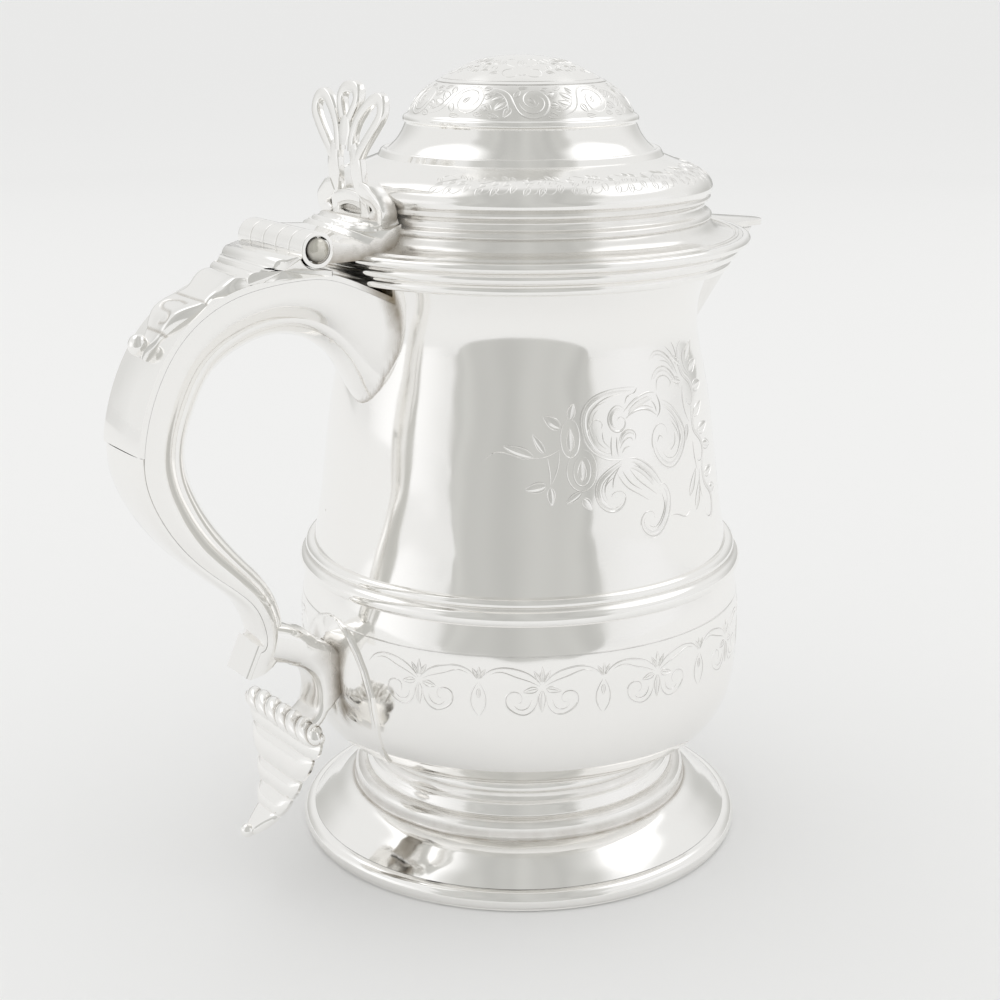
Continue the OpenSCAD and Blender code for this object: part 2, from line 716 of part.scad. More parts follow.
module handle_channel() {
    color(silver) difference() {
        swept([
            for (i = [0 : last_at]) concat(
                [for (p = channel_outline) handle_point(i, p[0], mix(strap_t, depth_at(i), p[1]))],
                [for (p = rev(channel_outline)) let (
                    u = p[0] * (1 - channel_wall / half_at(i)),
                    v = mix(strap_t, depth_at(i) - channel_wall, p[1])
                ) handle_point(i, u, v)]
            )
        ]);
        body_room(solder);
        lip_room();
    }
}

module handle_back_strap() {
    low = strap_t - solder;
    color(silver) difference() {
        swept([
            for (i = [0 : seam_at])
                [for (q = [[1, 0], [1, low], [-1, low], [-1, 0]]) handle_point(i, q[0], q[1])]
        ]);
        body_room(solder);
        lip_room();
    }
}

// Below the seam the back is a crowned strip whose edges are rounded off
module handle_lower_back() {
    low = strap_t - solder;
    crown_half = [[0.985, low], [0.9, low * 0.5], [0.7, low * 0.15], [0.35, 0]];
    crown = concat(crown_half, [for (q = rev(crown_half)) [-q[0], q[1]]]);
    function along(i) = i == seam_at ? solder : 0;
    color(silver) swept([
        for (i = [seam_at : last_at]) [
            for (q = crown) let (p = handle_point(i, q[0], q[1])) p - [0, 0, along(i)]
        ]
    ]);
}

module handle_end_cap() {
    d = unit(inner_at(last_at) - back_at(last_at));
    out = [d[1], 0, -d[0]];
    near = solder;
    outline = [for (p = channel_outline) handle_point(last_at, p[0], p[1] * depth_at(last_at))];
    color(silver) swept([
        for (k = [near, near + end_t]) [for (p = outline) p + out * k]
    ]);
}

// Leaf on the handle's back: half widths along its length, with notches between its lobes
leaf_from = 4 * span_steps + 1;
leaf_to = 6 * span_steps + 1;
leaf_shape = spline([[0.98], [0.94], [0.66], [0.84], [0.6], [0.32]], 4);
module handle_back_leaf() {
    n = leaf_to - leaf_from;
    color(silver) swept([
        for (i = [leaf_from : leaf_to]) let (
            s = (i - leaf_from) / n,
            w = leaf_shape[round(s * (len(leaf_shape) - 1))][0],
            t = leaf_t * mix(1, 0.7, s)
        ) [for (q = [[1, -solder], [0.8, -t * 0.75], [0.3, -t], [-0.3, -t], [-0.8, -t * 0.75], [-1, -solder]])
            handle_point(i, w * q[0], q[1])]
    ]);
}

module back_leaf_bead() {
    c = handle_point(leaf_to, 0, -bead_r - solder);
    d = unit(back_at(leaf_to + 1) - back_at(leaf_to)) * (bead_r + solder);
    color(silver) translate(c + [d[0], 0, d[1]]) sphere(r = bead_r);
}

// Lower handle

module lower_patch() {
    low_z = mix(foot_h, patch_top, 0.125);
    arch_r = patch_half * 0.72;
    color(silver) intersection() {
        rotate_extrude() polygon(concat(
            body_fit(low_z, patch_top, solder),
            rev(body_fit(low_z, patch_top, solder + patch_t))
        ));
        translate([-belly_r - 20, 0, 0]) rotate([90, 0, 90]) linear_extrude(height = belly_r) polygon(concat(
            [[-patch_half * 0.8, low_z], [patch_half * 0.8, low_z], [patch_half, low_z + 12]],
            arc([0, patch_top - arch_r], arch_r, 8, 172, 16),
            [[-patch_half, low_z + 12]]
        ));
    }
}

// The lower scroll: a C open to the outside, from the handle's end round to the roll
roll_x = reach - 37.3 * hu;
roll_z = top_z - 108 * hu;
scroll_points = let (x0 = reach - 36.6 * hu, z0 = top_z) [
    [x0, z0 - 87.5 * hu, 7.4 * hu],
    [x0 - 4 * hu, z0 - 89.6 * hu, 7 * hu],
    [x0 - 7.4 * hu, z0 - 93 * hu, 6 * hu],
    [x0 - 9.6 * hu, z0 - 98 * hu, 4.4 * hu],
    [x0 - 9.8 * hu, z0 - 103.4 * hu, 3.4 * hu],
    [x0 - 8.2 * hu, z0 - 108 * hu, 3 * hu],
    [x0 - 4.6 * hu, z0 - 110.6 * hu, 2.8 * hu],
    [roll_x - 2.6 * hu, roll_z - 3 * hu, 2.4 * hu]
];
scroll_line = spline(scroll_points, 3);
scroll_section = [[1, 0.6], [0.8, 1], [-0.8, 1], [-1, 0.6], [-1, -0.6], [-0.8, -1], [0.8, -1], [1, -0.6]];
module handle_lower_scroll() {
    n = len(scroll_line) - 1;
    color(silver) difference() {
        swept([
            for (i = [0 : n]) let (
                p = [-scroll_line[i][0], scroll_line[i][1]],
                q0 = scroll_line[max(i - 1, 0)],
                q1 = scroll_line[min(i + 1, n)],
                d = unit([q0[0] - q1[0], q1[1] - q0[1]]),
                m = [d[1], -d[0]],
                t = scroll_line[i][2] / 2
            ) [for (q = scroll_section)
                [p[0] + m[0] * q[1] * t, q[0] * scroll_half, p[1] + m[1] * q[1] * t]]
        ]);
        body_room(2 * solder + patch_t);
        handle_room();
        roll_room();
    }
}
// The space of the handle's lower end and of the roll, to which the scroll is cut back
module handle_room() {
    swept([
        for (i = [last_at - 4 * span_steps : last_at])
            [for (p = channel_outline)
                handle_point(i, p[0] * 1.02, mix(strap_t, depth_at(i) + 2 * solder, p[1]))]
    ]);
}
module roll_room() {
    translate([-roll_x, 0, roll_z]) rotate([90, 0, 0])
        cylinder(r = roll_r + solder, h = 2 * roll_half, center = true);
}

module tail_leaf_gadroon() {
    lobe = 2 * roll_half / roll_lobes;
    neck = roll_r * 0.72;
    color(silver) translate([-roll_x, 0, roll_z]) rotate([90, 0, 0]) rotate_extrude() polygon(concat(
        [[0, -roll_half]],
        [for (i = [0 : roll_lobes - 1], k = [0 : 5]) let (s = k / 6)
            [neck + (roll_r - neck) * sin(180 * s), -roll_half + (i + s) * lobe]],
        [[neck, roll_half], [0, roll_half]]
    ));
}

// Tail leaf: [x, z, half width] from under the roll to the tip, which turns outwards
tail_points = let (x = roll_x, z = roll_z, l = tail_l) [
    [x - 0.015 * l, z - 0.05 * l, roll_half],
    [x + 0.033 * l, z - 0.3 * l, 0.8 * roll_half],
    [x + 0.073 * l, z - 0.54 * l, 0.56 * roll_half],
    [x + 0.145 * l, z - 0.78 * l, 0.34 * roll_half],
    [x + 0.29 * l, z - 0.95 * l, 0.17 * roll_half],
    [x + 0.415 * l, z - l, 0.09 * roll_half]
];
tail_line = spline(tail_points, 4);
tail_section = [[1, -0.3], [0.6, -0.5], [-0.6, -0.5], [-1, -0.3], [-1, 0.3], [-0.6, 1], [0.6, 1], [1, 0.3]];
module tail_leaf() {
    n = len(tail_line) - 1;
    ribs = 4;
    color(silver) difference() {
        swept([
            for (i = [0 : n]) let (
                p = [-tail_line[i][0], tail_line[i][1]],
                q0 = tail_line[max(i - 1, 0)],
                q1 = tail_line[min(i + 1, n)],
                d = unit([q0[0] - q1[0], q1[1] - q0[1]]),
                m = [-d[1], d[0]],
                w = tail_line[i][2],
                t = tail_t * (0.45 + 0.3 * abs(sin(180 * ribs * i / n)))
            ) [for (q = tail_section)
                [p[0] - m[0] * q[1] * t, q[0] * w, p[1] - m[1] * q[1] * t]]
        ]);
        roll_room();
    }
}

body_barrel();
lip_moulding();
girdle_moulding();
foot_collar();
foot();
foot_rim_wire();
spout();
handle_channel();
handle_back_strap();
handle_lower_back();
handle_end_cap();
handle_back_leaf();
back_leaf_bead();
hinge_seat();
hinge_pin();
lower_patch();
handle_lower_scroll();
tail_leaf_gadroon();
tail_leaf();
lid_dome();
lid_rim_wire();
lid_bezel();
lid_spout_tongue();
lid_hinge_plate();
hinge_pin_caps();
thumbpiece();
thumbpiece_fan();
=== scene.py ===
# %% [markdown]
# # A silver lidded jug
# The real object is raised and cast from sterling silver: a baluster body on a moulded foot, a beak
# spout, a hollow scroll handle, and a domed lid that turns on a five-knuckle hinge. Polished silver
# shows every facet of a mesh as a kink in its reflections, so the pieces here are drawn again as fine
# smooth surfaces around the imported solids. All lengths below are millimetres until a mesh is made.

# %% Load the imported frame
import bmesh
import bpy
import numpy as np
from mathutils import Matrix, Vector


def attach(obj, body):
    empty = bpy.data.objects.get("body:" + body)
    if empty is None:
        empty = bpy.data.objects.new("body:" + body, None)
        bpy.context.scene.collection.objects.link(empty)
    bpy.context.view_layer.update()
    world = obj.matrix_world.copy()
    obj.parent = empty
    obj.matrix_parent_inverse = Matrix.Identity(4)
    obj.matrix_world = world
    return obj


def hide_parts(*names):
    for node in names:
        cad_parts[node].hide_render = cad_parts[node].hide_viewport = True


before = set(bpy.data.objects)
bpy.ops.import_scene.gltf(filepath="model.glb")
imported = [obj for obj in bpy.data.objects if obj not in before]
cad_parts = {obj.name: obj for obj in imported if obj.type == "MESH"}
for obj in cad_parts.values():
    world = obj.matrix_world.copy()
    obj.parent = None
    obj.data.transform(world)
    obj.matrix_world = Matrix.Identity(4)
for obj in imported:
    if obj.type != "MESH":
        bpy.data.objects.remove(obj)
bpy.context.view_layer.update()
MM = 0.001

# %% [markdown]
# ## From numbers to a mesh
# Every piece below is a grid: rows along one direction, columns along another. A grid becomes quads by
# counting, and columns or rows may join up at their ends. Where the ends of a grid meet in a point or
# along a seam, the doubled vertices are welded, and then all faces are turned outwards.

# %% Grid helpers
AROUND = 288


def spread(*values):
    """Values spread to one common grid and stacked, so that x, y and z become a grid of points."""
    return np.stack(np.broadcast_arrays(*values), -1)


def clamp(values):
    """Values held between 0 and 1."""
    return np.clip(values, 0, 1)


def grid_faces(rows, cols, wrap_rows=False, wrap_cols=False):
    """Quads of a grid: corner (i, j) joins (i, j+1), (i+1, j+1) and (i+1, j)."""
    i = np.arange(rows if wrap_rows else rows - 1)[:, None]
    j = np.arange(cols if wrap_cols else cols - 1)[None, :]
    i2, j2 = (i + 1) % rows, (j + 1) % cols
    return spread(i * cols + j, i * cols + j2, i2 * cols + j2, i2 * cols + j).reshape(-1, 4)


def grid_part(grid, wrap_rows=False, wrap_cols=False, close_ends=False):
    """A grid of points as (vertices, quads). Closed ends get a middle point that each end row shrinks to."""
    if close_ends:
        first = np.repeat(grid[:1].mean(1, keepdims=True), grid.shape[1], 1)
        last = np.repeat(grid[-1:].mean(1, keepdims=True), grid.shape[1], 1)
        grid = np.concatenate([first, grid, last])
    return grid.reshape(-1, 3), grid_faces(grid.shape[0], grid.shape[1], wrap_rows, wrap_cols)


def tube(grid):
    """A grid whose columns join up and whose two ends are closed."""
    return grid_part(grid, wrap_cols=True, close_ends=True)


def sandwich(upper, lower):
    """Two sheets of the same size as one tube, joined along their sides."""
    return np.concatenate([upper, lower[:, ::-1]], 1)


def shell(upper, lower, rows=(0, -1)):
    """Two sheets with strips between them along both sides and along the end rows that are named."""
    strips = [(upper[:, e], lower[:, e]) for e in (0, -1)] + [(upper[e], lower[e]) for e in rows]
    return [grid_part(g) for g in (upper, lower, *(np.stack(pair) for pair in strips))]


# %% From grids to a finished piece
def add_object(name, mesh, material):
    """Puts a mesh into the scene, shaded smooth and in one material."""
    mesh.polygons.foreach_set("use_smooth", np.ones(len(mesh.polygons), bool))
    mesh.materials.append(material)
    made = bpy.data.objects.new(name, mesh)
    bpy.context.scene.collection.objects.link(made)
    return made


def piece(name, parts, material, body, nodes=(), sharp=32, tarnish_and_shade=None):
    """A finished object from several grids: joined, welded, turned outwards and shaded smooth.

    sharp is the angle in degrees past which an edge stays crisp. tarnish_and_shade, from 0 to 1, is what the silver's
    material reads, tarnish on most pieces and painted shade on some: one value for the whole piece, or one for each
    vertex in turn and 0 for those left over."""
    counts = np.cumsum([0] + [len(v) for v, _ in parts])
    points = np.concatenate([v for v, _ in parts])
    quads = np.concatenate([f + c for (_, f), c in zip(parts, counts)])
    mesh = bpy.data.meshes.new(name)
    mesh.from_pydata(points * MM, [], quads)
    if tarnish_and_shade is not None:
        given = clamp(np.ravel(tarnish_and_shade))
        values = np.zeros(len(points), np.float32)
        values[: len(given) if len(given) > 1 else None] = given
        mesh.attributes.new("tarnish_and_shade", "FLOAT", "POINT").data.foreach_set("value", values)
    work = bmesh.new()
    work.from_mesh(mesh)
    bmesh.ops.remove_doubles(work, verts=work.verts, dist=2e-7)
    bmesh.ops.dissolve_degenerate(work, edges=work.edges, dist=1e-8)
    bmesh.ops.recalc_face_normals(work, faces=work.faces)
    work.to_mesh(mesh)
    open_edges = sum(1 for e in work.edges if not e.is_manifold)
    work.free()
    made = add_object(name, mesh, material)
    mesh.set_sharp_from_angle(angle=np.radians(sharp))
    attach(made, body)
    if nodes:
        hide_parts(*nodes)
    size = np.ptp(points, axis=0).round(1)
    print(name, "quads", len(mesh.polygons), "open edges", open_edges, "size mm", size.tolist())


# %% Smooth lines through a few points
def length_along(line):
    """The length from a line's start to each of its points."""
    return np.concatenate([[0], np.cumsum(np.linalg.norm(np.diff(line, axis=0), axis=1))])


def curve(points, count):
    """A natural cubic spline through points, sampled evenly along the chord length.

    Each coordinate is a cubic in every span. Its second derivatives solve one linear system, which
    makes slope and curvature agree where spans meet, so that reflections run on without a kink."""
    p = np.asarray(points, float)
    t = length_along(p)
    h = np.diff(t)
    n = len(p)
    system = np.eye(n)
    right = np.zeros_like(p)
    inner = np.arange(1, n - 1)
    system[inner, inner - 1] = h[:-1]
    system[inner, inner] = 2 * (h[:-1] + h[1:])
    system[inner, inner + 1] = h[1:]
    slope = np.diff(p, axis=0) / h[:, None]
    right[1:-1] = 6 * (slope[1:] - slope[:-1])
    bend = np.linalg.solve(system, right)
    s = np.linspace(0, t[-1], count)
    k = np.clip(np.searchsorted(t, s, side="right") - 1, 0, n - 2)
    a, b, w = (t[k + 1] - s)[:, None], (s - t[k])[:, None], h[k][:, None]
    return (
        (bend[k] * a**3 + bend[k + 1] * b**3) / (6 * w)
        + (p[k] / w - bend[k] * w / 6) * a
        + (p[k + 1] / w - bend[k + 1] * w / 6) * b
    )


def arc(centre, radius, start, stop, count):
    """Points on a circle in the plane, from one angle in degrees to another."""
    a = np.radians(np.linspace(start, stop, count))
    return centre + radius * spread(np.cos(a), np.sin(a))


def path(*runs):
    """Joins runs of points into one line."""
    return np.concatenate([np.asarray(run, float) for run in runs])


def unit(vectors):
    """Vectors of length 1 in the same directions."""
    return vectors / np.linalg.norm(vectors, axis=-1, keepdims=True)


def heading(line):
    """The unit direction of a line, or of each line in a stack, at each of its points."""
    return unit(np.gradient(line, axis=-2))


def left_of(direction):
    """A quarter turn to the left of a plane direction."""
    return np.stack([-direction[..., 1], direction[..., 0]], -1)


def offset(line, distance):
    """A plane line moved to the left of its own direction by a distance."""
    return line + distance * left_of(heading(line))


# %% Round sections and soft steps
def circle(count):
    """Angles evenly spaced round a circle, as one row."""
    return np.linspace(0, 2 * np.pi, count, endpoint=False)[None, :]


def lathe(profile):
    """Turns a profile of (radius, height) about the axis: x = r cos a, y = r sin a, z = height."""
    a = circle(AROUND)
    r, z = np.asarray(profile, float).T[..., None]
    return spread(r * np.cos(a), r * np.sin(a), z)


def squarish(share, power):
    """A sine or cosine to a power with its sign kept: powers under 1 turn a round section into a squarer one."""
    return np.sign(share) * np.abs(share) ** power


def bell(distance, width):
    """A smooth hump: e to the power of minus the square of distance over width, 1 at its middle."""
    return np.exp(-((distance / width) ** 2))


def ledge(distance, width):
    """A smooth step: 1 / (1 + e to the power of distance over width), near 1 before the edge and near 0 past it."""
    return 1 / (1 + np.exp(distance / width))


def soft(room, width):
    """A smooth step from 0 at an edge to 1 at a width from it."""
    s = clamp(room / width)
    return s * s * (3 - 2 * s)


print("helpers ready")

# %% [markdown]
# ## Silver
# Sterling silver is a metal of very high reflectance with a slight warmth. Polishing with rouge leaves
# a nearly sharp mirror with a faint haze, hand raising leaves shallow waves a few centimetres long, and
# sulphur darkens what a cloth can't reach. So the finish is one metal whose haze, waves and tarnish come
# from patterns at those real sizes, read in object coordinates.

# %% Colour and node helpers
def linear(code):
    """An sRGB hex colour as linear RGBA: values over 0.04045 follow a power of 2.4, the rest a straight line."""
    c = np.array([int(code[i : i + 2], 16) for i in (1, 3, 5)]) / 255
    c = np.where(c > 0.04045, ((c + 0.055) / 1.055) ** 2.4, c / 12.92)
    return (*c.tolist(), 1.0)


def add_node(tree, kind, settings=None, **inputs):
    """Adds a node with its settings; an input that is a socket is linked, and any other is a value.

    Inputs are named with _ for a space, or as in_0, in_1 by their place."""
    node = tree.nodes.new(kind)
    for key, value in (settings or {}).items():
        setattr(node, key, value)
    for key, value in inputs.items():
        target = node.inputs[int(key[3:])] if key.startswith("in_") else node.inputs[key.replace("_", " ")]
        if isinstance(value, bpy.types.NodeSocket):
            tree.links.new(value, target)
        else:
            target.default_value = value
    return node


def combine(tree, operation, first, second):
    """The socket of one operation on two values, held between 0 and 1."""
    settings = {"operation": operation, "use_clamp": True}
    return add_node(tree, "ShaderNodeMath", settings, in_0=first, in_1=second).outputs[0]


def remap(tree, value, low, high, to_low, to_high):
    """The socket of a value carried from one range to another and held inside it."""
    node = add_node(tree, "ShaderNodeMapRange", Value=value, in_1=low, in_2=high, in_3=to_low, in_4=to_high)
    return node.outputs[0]


def per_mm(size):
    """The texture scale at which one cell of a pattern is size millimetres wide."""
    return 1 / (size * MM)


# %% One finish for all the silver
# sizes in millimetres of the patterns: clouds in the tarnish, distance of pits, smears of polish, hammered waves
CLOUD, PITS, SMEAR, HAMMER = 6, 7, 18, 24
# rouge leaves hairlines far finer than a pixel, so these are drawn about 0.4 mm apart to show at all
HAIR, HAIR_LONG, HAIR_DEEP = 0.4, 9, 0.0006


def silver_finish(name, bright, dark, haze, dark_haze, wave, spots):
    """Silver as a metal: colour and haze run from polished to dark with the tarnish_and_shade value and a cloudy
    noise.
    That value is tarnish on most pieces and painted shade on the pin caps, the engraving's flanks and the foot's
    rings.

    The dark film is a sulphide, which mirrors less than the metal under it, so Metallic falls with it too; it falls
    the same way where the value is painted shade.
    wave is the height in millimetres of the raised surface's shallow waves, spots the share of pits that show."""
    made = bpy.data.materials.new(name)
    made.use_nodes = True
    tree = made.node_tree
    place = add_node(tree, "ShaderNodeTexCoord").outputs["Object"]
    cloud = add_node(tree, "ShaderNodeTexNoise", Vector=place, Scale=per_mm(CLOUD), Detail=4, Roughness=0.6)
    stain_and_shade = add_node(tree, "ShaderNodeAttribute", {"attribute_name": "tarnish_and_shade"})
    film_and_shade = combine(tree, "MULTIPLY", stain_and_shade.outputs["Fac"], remap(tree, cloud.outputs["Fac"], 0.3, 0.7, 0.55, 1.25))
    cell = add_node(tree, "ShaderNodeTexVoronoi", Vector=place, Scale=per_mm(PITS))
    pit = remap(tree, cell.outputs["Distance"], 0.02, 0.045, 1, 0)
    chosen = combine(tree, "LESS_THAN", cell.outputs["Color"], spots)
    grime_and_shade = combine(tree, "MAXIMUM", film_and_shade, combine(tree, "MULTIPLY", pit, chosen))
    colour = add_node(tree, "ShaderNodeMix", {"data_type": "RGBA"}, in_0=grime_and_shade, in_6=linear(bright),
                      in_7=linear(dark))
    smear = add_node(tree, "ShaderNodeTexNoise", Vector=place, Scale=per_mm(SMEAR), Detail=3)
    rough = remap(tree, smear.outputs["Fac"], 0.3, 0.7, haze * 0.7, haze * 1.4)
    hammer = add_node(tree, "ShaderNodeTexNoise", Vector=place, Scale=per_mm(HAMMER), Detail=1.5, Roughness=0.4)
    raised = add_node(tree, "ShaderNodeBump", Strength=1.0, Distance=wave * MM, Height=hammer.outputs["Fac"])
    drawn = add_node(tree, "ShaderNodeMapping", Vector=place, Scale=(per_mm(HAIR), per_mm(HAIR), per_mm(HAIR_LONG)))
    lines = add_node(tree, "ShaderNodeTexNoise", Vector=drawn.outputs["Vector"], Scale=1.0, Detail=2)
    cut = add_node(tree, "ShaderNodeBump", Strength=0.25, Distance=HAIR_DEEP * MM, Height=lines.outputs["Fac"],
                   Normal=raised.outputs["Normal"])
    shader = tree.nodes["Principled BSDF"]
    tree.links.new(colour.outputs[2], shader.inputs["Base Color"])
    tree.links.new(remap(tree, grime_and_shade, 0, 1, 1, 0.35), shader.inputs["Metallic"])
    tree.links.new(remap(tree, grime_and_shade, 0, 0.5, rough, dark_haze), shader.inputs["Roughness"])
    tree.links.new(cut.outputs["Normal"], shader.inputs["Normal"])
    print("finish", name)
    return made


# %% The three silvers of the jug
# polished: what a cloth reaches; engraved: the graver's cuts, one flank of each painted darker as shade; dulled: the
# pin and its caps
polished = silver_finish("polished_sterling_silver", "#FBFAF8", "#85765C", 0.09, 0.34, 0.8, 0.10)
engraved = silver_finish("engraved_sterling_silver", "#FBFAF8", "#5F594F", 0.12, 0.35, 0.02, 0.0)
dulled = silver_finish("dulled_silver", "#E2DFD6", "#37322A", 0.1, 0.3, 0.10, 0.3)

# %% [markdown]
# ## Light, floor and camera
# Polished metal looks like what stands around it. Here that is a pale room with a soft light on each
# side, and a darker opening in front between them, which the body and lid show as a grey band. The floor
# is plain and pale and keeps the shadow. The camera stands where the photograph was taken from: its
# distance, height and lens were found from the ellipses of the foot, the girdle and the lid.

# %% World and floor
CAMERA_AT = Vector((-252.7, -354.3, 214.3)) * MM
FACING = np.radians(55.16)
PITCH = np.radians(-16.41)
FOCAL_SHARE = 1.771  # the focal length over the picture's width
ahead = np.array([np.cos(FACING), np.sin(FACING), 0.0])
aside = np.array([np.sin(FACING), -np.cos(FACING), 0.0])

# the camera and the metal see the room's pale grey, and all else is lit by white
world = bpy.data.worlds.new("pale_room")
bpy.context.scene.world = world
world.use_nodes = True
sky = world.node_tree
rays = add_node(sky, "ShaderNodeLightPath").outputs
seen = combine(sky, "MAXIMUM", rays["Is Camera Ray"], rays["Is Glossy Ray"])
seen = combine(sky, "MAXIMUM", seen, rays["Is Transmission Ray"])
shown = add_node(sky, "ShaderNodeBackground", Color=linear("#EDEDEC"), Strength=1.0)
light = add_node(sky, "ShaderNodeBackground", Color=linear("#FFFFFF"), Strength=0.93)
both = add_node(sky, "ShaderNodeMixShader", Fac=seen, in_1=light.outputs[0], in_2=shown.outputs[0])
sky.links.new(both.outputs[0], sky.nodes["World Output"].inputs["Surface"])


def stage_sheet(name, grid, material):
    """A sheet of the set, which is not part of the jug."""
    mesh = bpy.data.meshes.new(name)
    mesh.from_pydata(grid.reshape(-1, 3), [], grid_faces(grid.shape[0], grid.shape[1]))
    made = add_object(name, mesh, material)
    print("stage", name)
    return made


def matt(name, code):
    """A matt painted sheet of one colour."""
    made = bpy.data.materials.new(name)
    made.use_nodes = True
    shader = made.node_tree.nodes["Principled BSDF"]
    shader.inputs["Base Color"].default_value = linear(code)
    shader.inputs["Roughness"].default_value = 0.9
    shader.inputs["Specular IOR Level"].default_value = 0.2
    return made


floor_side = np.linspace(-30, 30, 3)
stage_sheet("floor", spread(floor_side[:, None], floor_side[None, :], 0.0), matt("pale_paper", "#F1F1F0"))


# %% What the metal shows but the camera does not
# glowing sheets that stand in for the room in reflections, with their light and shade painted into their glow: a grey
# cloth in an arch from the floor in front to overhead, a soft light on each side of it and overhead, and grey cards
# behind that draw the darker edges: a tall one on each side and a low one between them
def soft_sheet(name, grid, code, fade, glow=1.0):
    """A glowing sheet that is seen only in reflections; fade runs from 1 where it is full to 0 where it is clear."""
    glow_sheet = bpy.data.materials.new(name + "_cloth")
    glow_sheet.use_nodes = True
    tree = glow_sheet.node_tree
    share = add_node(tree, "ShaderNodeAttribute", {"attribute_name": "fade"}).outputs["Fac"]
    level = add_node(tree, "ShaderNodeAttribute", {"attribute_name": "glow"}).outputs["Fac"]
    clear = add_node(tree, "ShaderNodeBsdfTransparent")
    shine = add_node(tree, "ShaderNodeEmission", Color=linear(code), Strength=level)
    mixed = add_node(tree, "ShaderNodeMixShader", Fac=share, in_1=clear.outputs[0], in_2=shine.outputs[0])
    tree.links.new(mixed.outputs[0], tree.nodes["Material Output"].inputs["Surface"])
    made = stage_sheet(name, grid, glow_sheet)
    for label, values in (("fade", fade), ("glow", glow)):
        layer = made.data.attributes.new(label, "FLOAT", "POINT")
        layer.data.foreach_set("value", np.broadcast_to(values, grid.shape[:2]).astype(np.float32).ravel())
    made.visible_camera = False
    made.visible_shadow = False
    made.visible_diffuse = False


def in_room(sideways, forward, high):
    """A place in the room from the camera's own directions, in metres."""
    return spread(sideways, forward, high) @ np.stack([aside, ahead, [0, 0, 1.0]])


def round_wall(radius, start, stop, top, rows, hand=1, facing=1):
    """An upright round wall about the jug, from one angle in degrees to another, with its angles and heights.

    Angles count from straight ahead, or from the camera if facing is -1. They run to the right, or to the left if
    hand is -1."""
    turn = np.radians(np.linspace(start, stop, 24))[None, :]
    high = np.linspace(0, top, rows)[:, None]
    return in_room(hand * radius * np.sin(turn), facing * radius * np.cos(turn), high), turn, high


ARCH_R = 1.5
CORNER_AT = 0.85  # where the rounding of the arch's foot ends, in half widths
t = np.linspace(0, 1, 80)[:, None]
sway = np.linspace(-1, 1, 49)[None, :]
rounding = clamp(np.abs(sway) / CORNER_AT) ** 2
corner = 3.6 * (1 - np.sqrt(1 - rounding))
up = np.radians(corner + t * (113 - corner))
half = np.interp(t, [0, 0.25, 0.53, 1], [0.98, 1.3, 0.98, 0.7])
half = half * (1 + 0.05 * np.sin(14 * t) + 0.03 * np.sin(47 * t + 1))
foot_at = 0.5 + 0.55 * rounding
near = foot_at + (ARCH_R - foot_at) * clamp(t / 0.3)
# the cloth's folds are painted into its glow as lighter and darker streaks
fold_glow = 1 + 0.05 * np.sin(sway * 9 + 2 * t) + 0.03 * np.sin(sway * 23 + 1) + 0.1 * np.abs(sway) ** 4
arch = in_room(sway * half + 0.05, -near * np.cos(up), ARCH_R * np.sin(up))
soft_sheet("front_arch", arch, "#C7C7C4", soft(1 - np.abs(sway), 0.22) * soft(1.02 - t, 0.15), fold_glow)

middle = np.sin(np.linspace(0, np.pi, 24))[None, :]
for label, hand in (("left", -1), ("right", 1)):
    wall, _, high = round_wall(1.6, 44, 104, 1.0, 24, hand, -1)
    soft_sheet(label + "_wall_light", wall, "#FFFFFF", middle * soft(1 - high, 0.5), 0.98 - 0.08 * hand)
    card, _, high = round_wall(1.6, 10, 66, 1.0, 16, hand)
    soft_sheet(label + "_card", card, "#C6C6C3", middle * soft(1 - high, 0.9))
BACK_CARD = 26
card, turn, high = round_wall(1.7, -BACK_CARD, BACK_CARD, 0.3, 12)
fade = soft(1 - np.abs(turn) / np.radians(BACK_CARD), 0.35) * soft(0.3 - high, 0.16)
soft_sheet("back_card", card, "#B4B4B1", fade)

# %% Lamps overhead
PANEL_Z = 1.2
LAMP_LEVEL = 0.25


def ceiling_light(name, sideways, forward, width, length, level):
    """A soft light overhead: a glowing oval that the metal shows, and a lamp of that size that lights the floor."""
    r, a = np.linspace(0, 1, 24)[:, None], np.linspace(0, 2 * np.pi, 61)[None, :]
    panel = in_room(sideways + r * width / 2 * np.cos(a), forward + r * length / 2 * np.sin(a), PANEL_Z)
    soft_sheet(name + "_glow", panel, "#FFFFFF", soft(1 - r, 0.4), level)
    data = bpy.data.lights.new(name, "AREA")
    data.shape = "ELLIPSE"
    data.size, data.size_y = width, length
    data.energy = LAMP_LEVEL * np.pi * (np.pi / 4 * width * length)
    made = bpy.data.objects.new(name, data)
    made.location = in_room(sideways, forward, PANEL_Z)
    made.rotation_euler = (0, 0, FACING - np.pi / 2)
    made.visible_glossy = False
    bpy.context.scene.collection.objects.link(made)
    print("lamp", name, "watts", round(data.energy, 3))


ceiling_light("left_panel", -0.68, 0.34, 0.98, 1.7, 1.25)
ceiling_light("right_panel", 0.8, 0.4, 1.1, 1.7, 1.25)

# %% Camera
lens = bpy.data.cameras.new("camera")
lens.sensor_width = 36
lens.lens = lens.sensor_width * FOCAL_SHARE
camera = bpy.data.objects.new("camera", lens)
camera.location = CAMERA_AT
look = Vector((*(ahead * np.cos(PITCH))[:2], np.sin(PITCH)))
camera.rotation_euler = look.to_track_quat("-Z", "Y").to_euler()
bpy.context.scene.collection.objects.link(camera)
bpy.context.scene.camera = camera
bpy.context.scene.view_settings.view_transform = "Standard"
print("camera at", [round(v, 4) for v in CAMERA_AT])

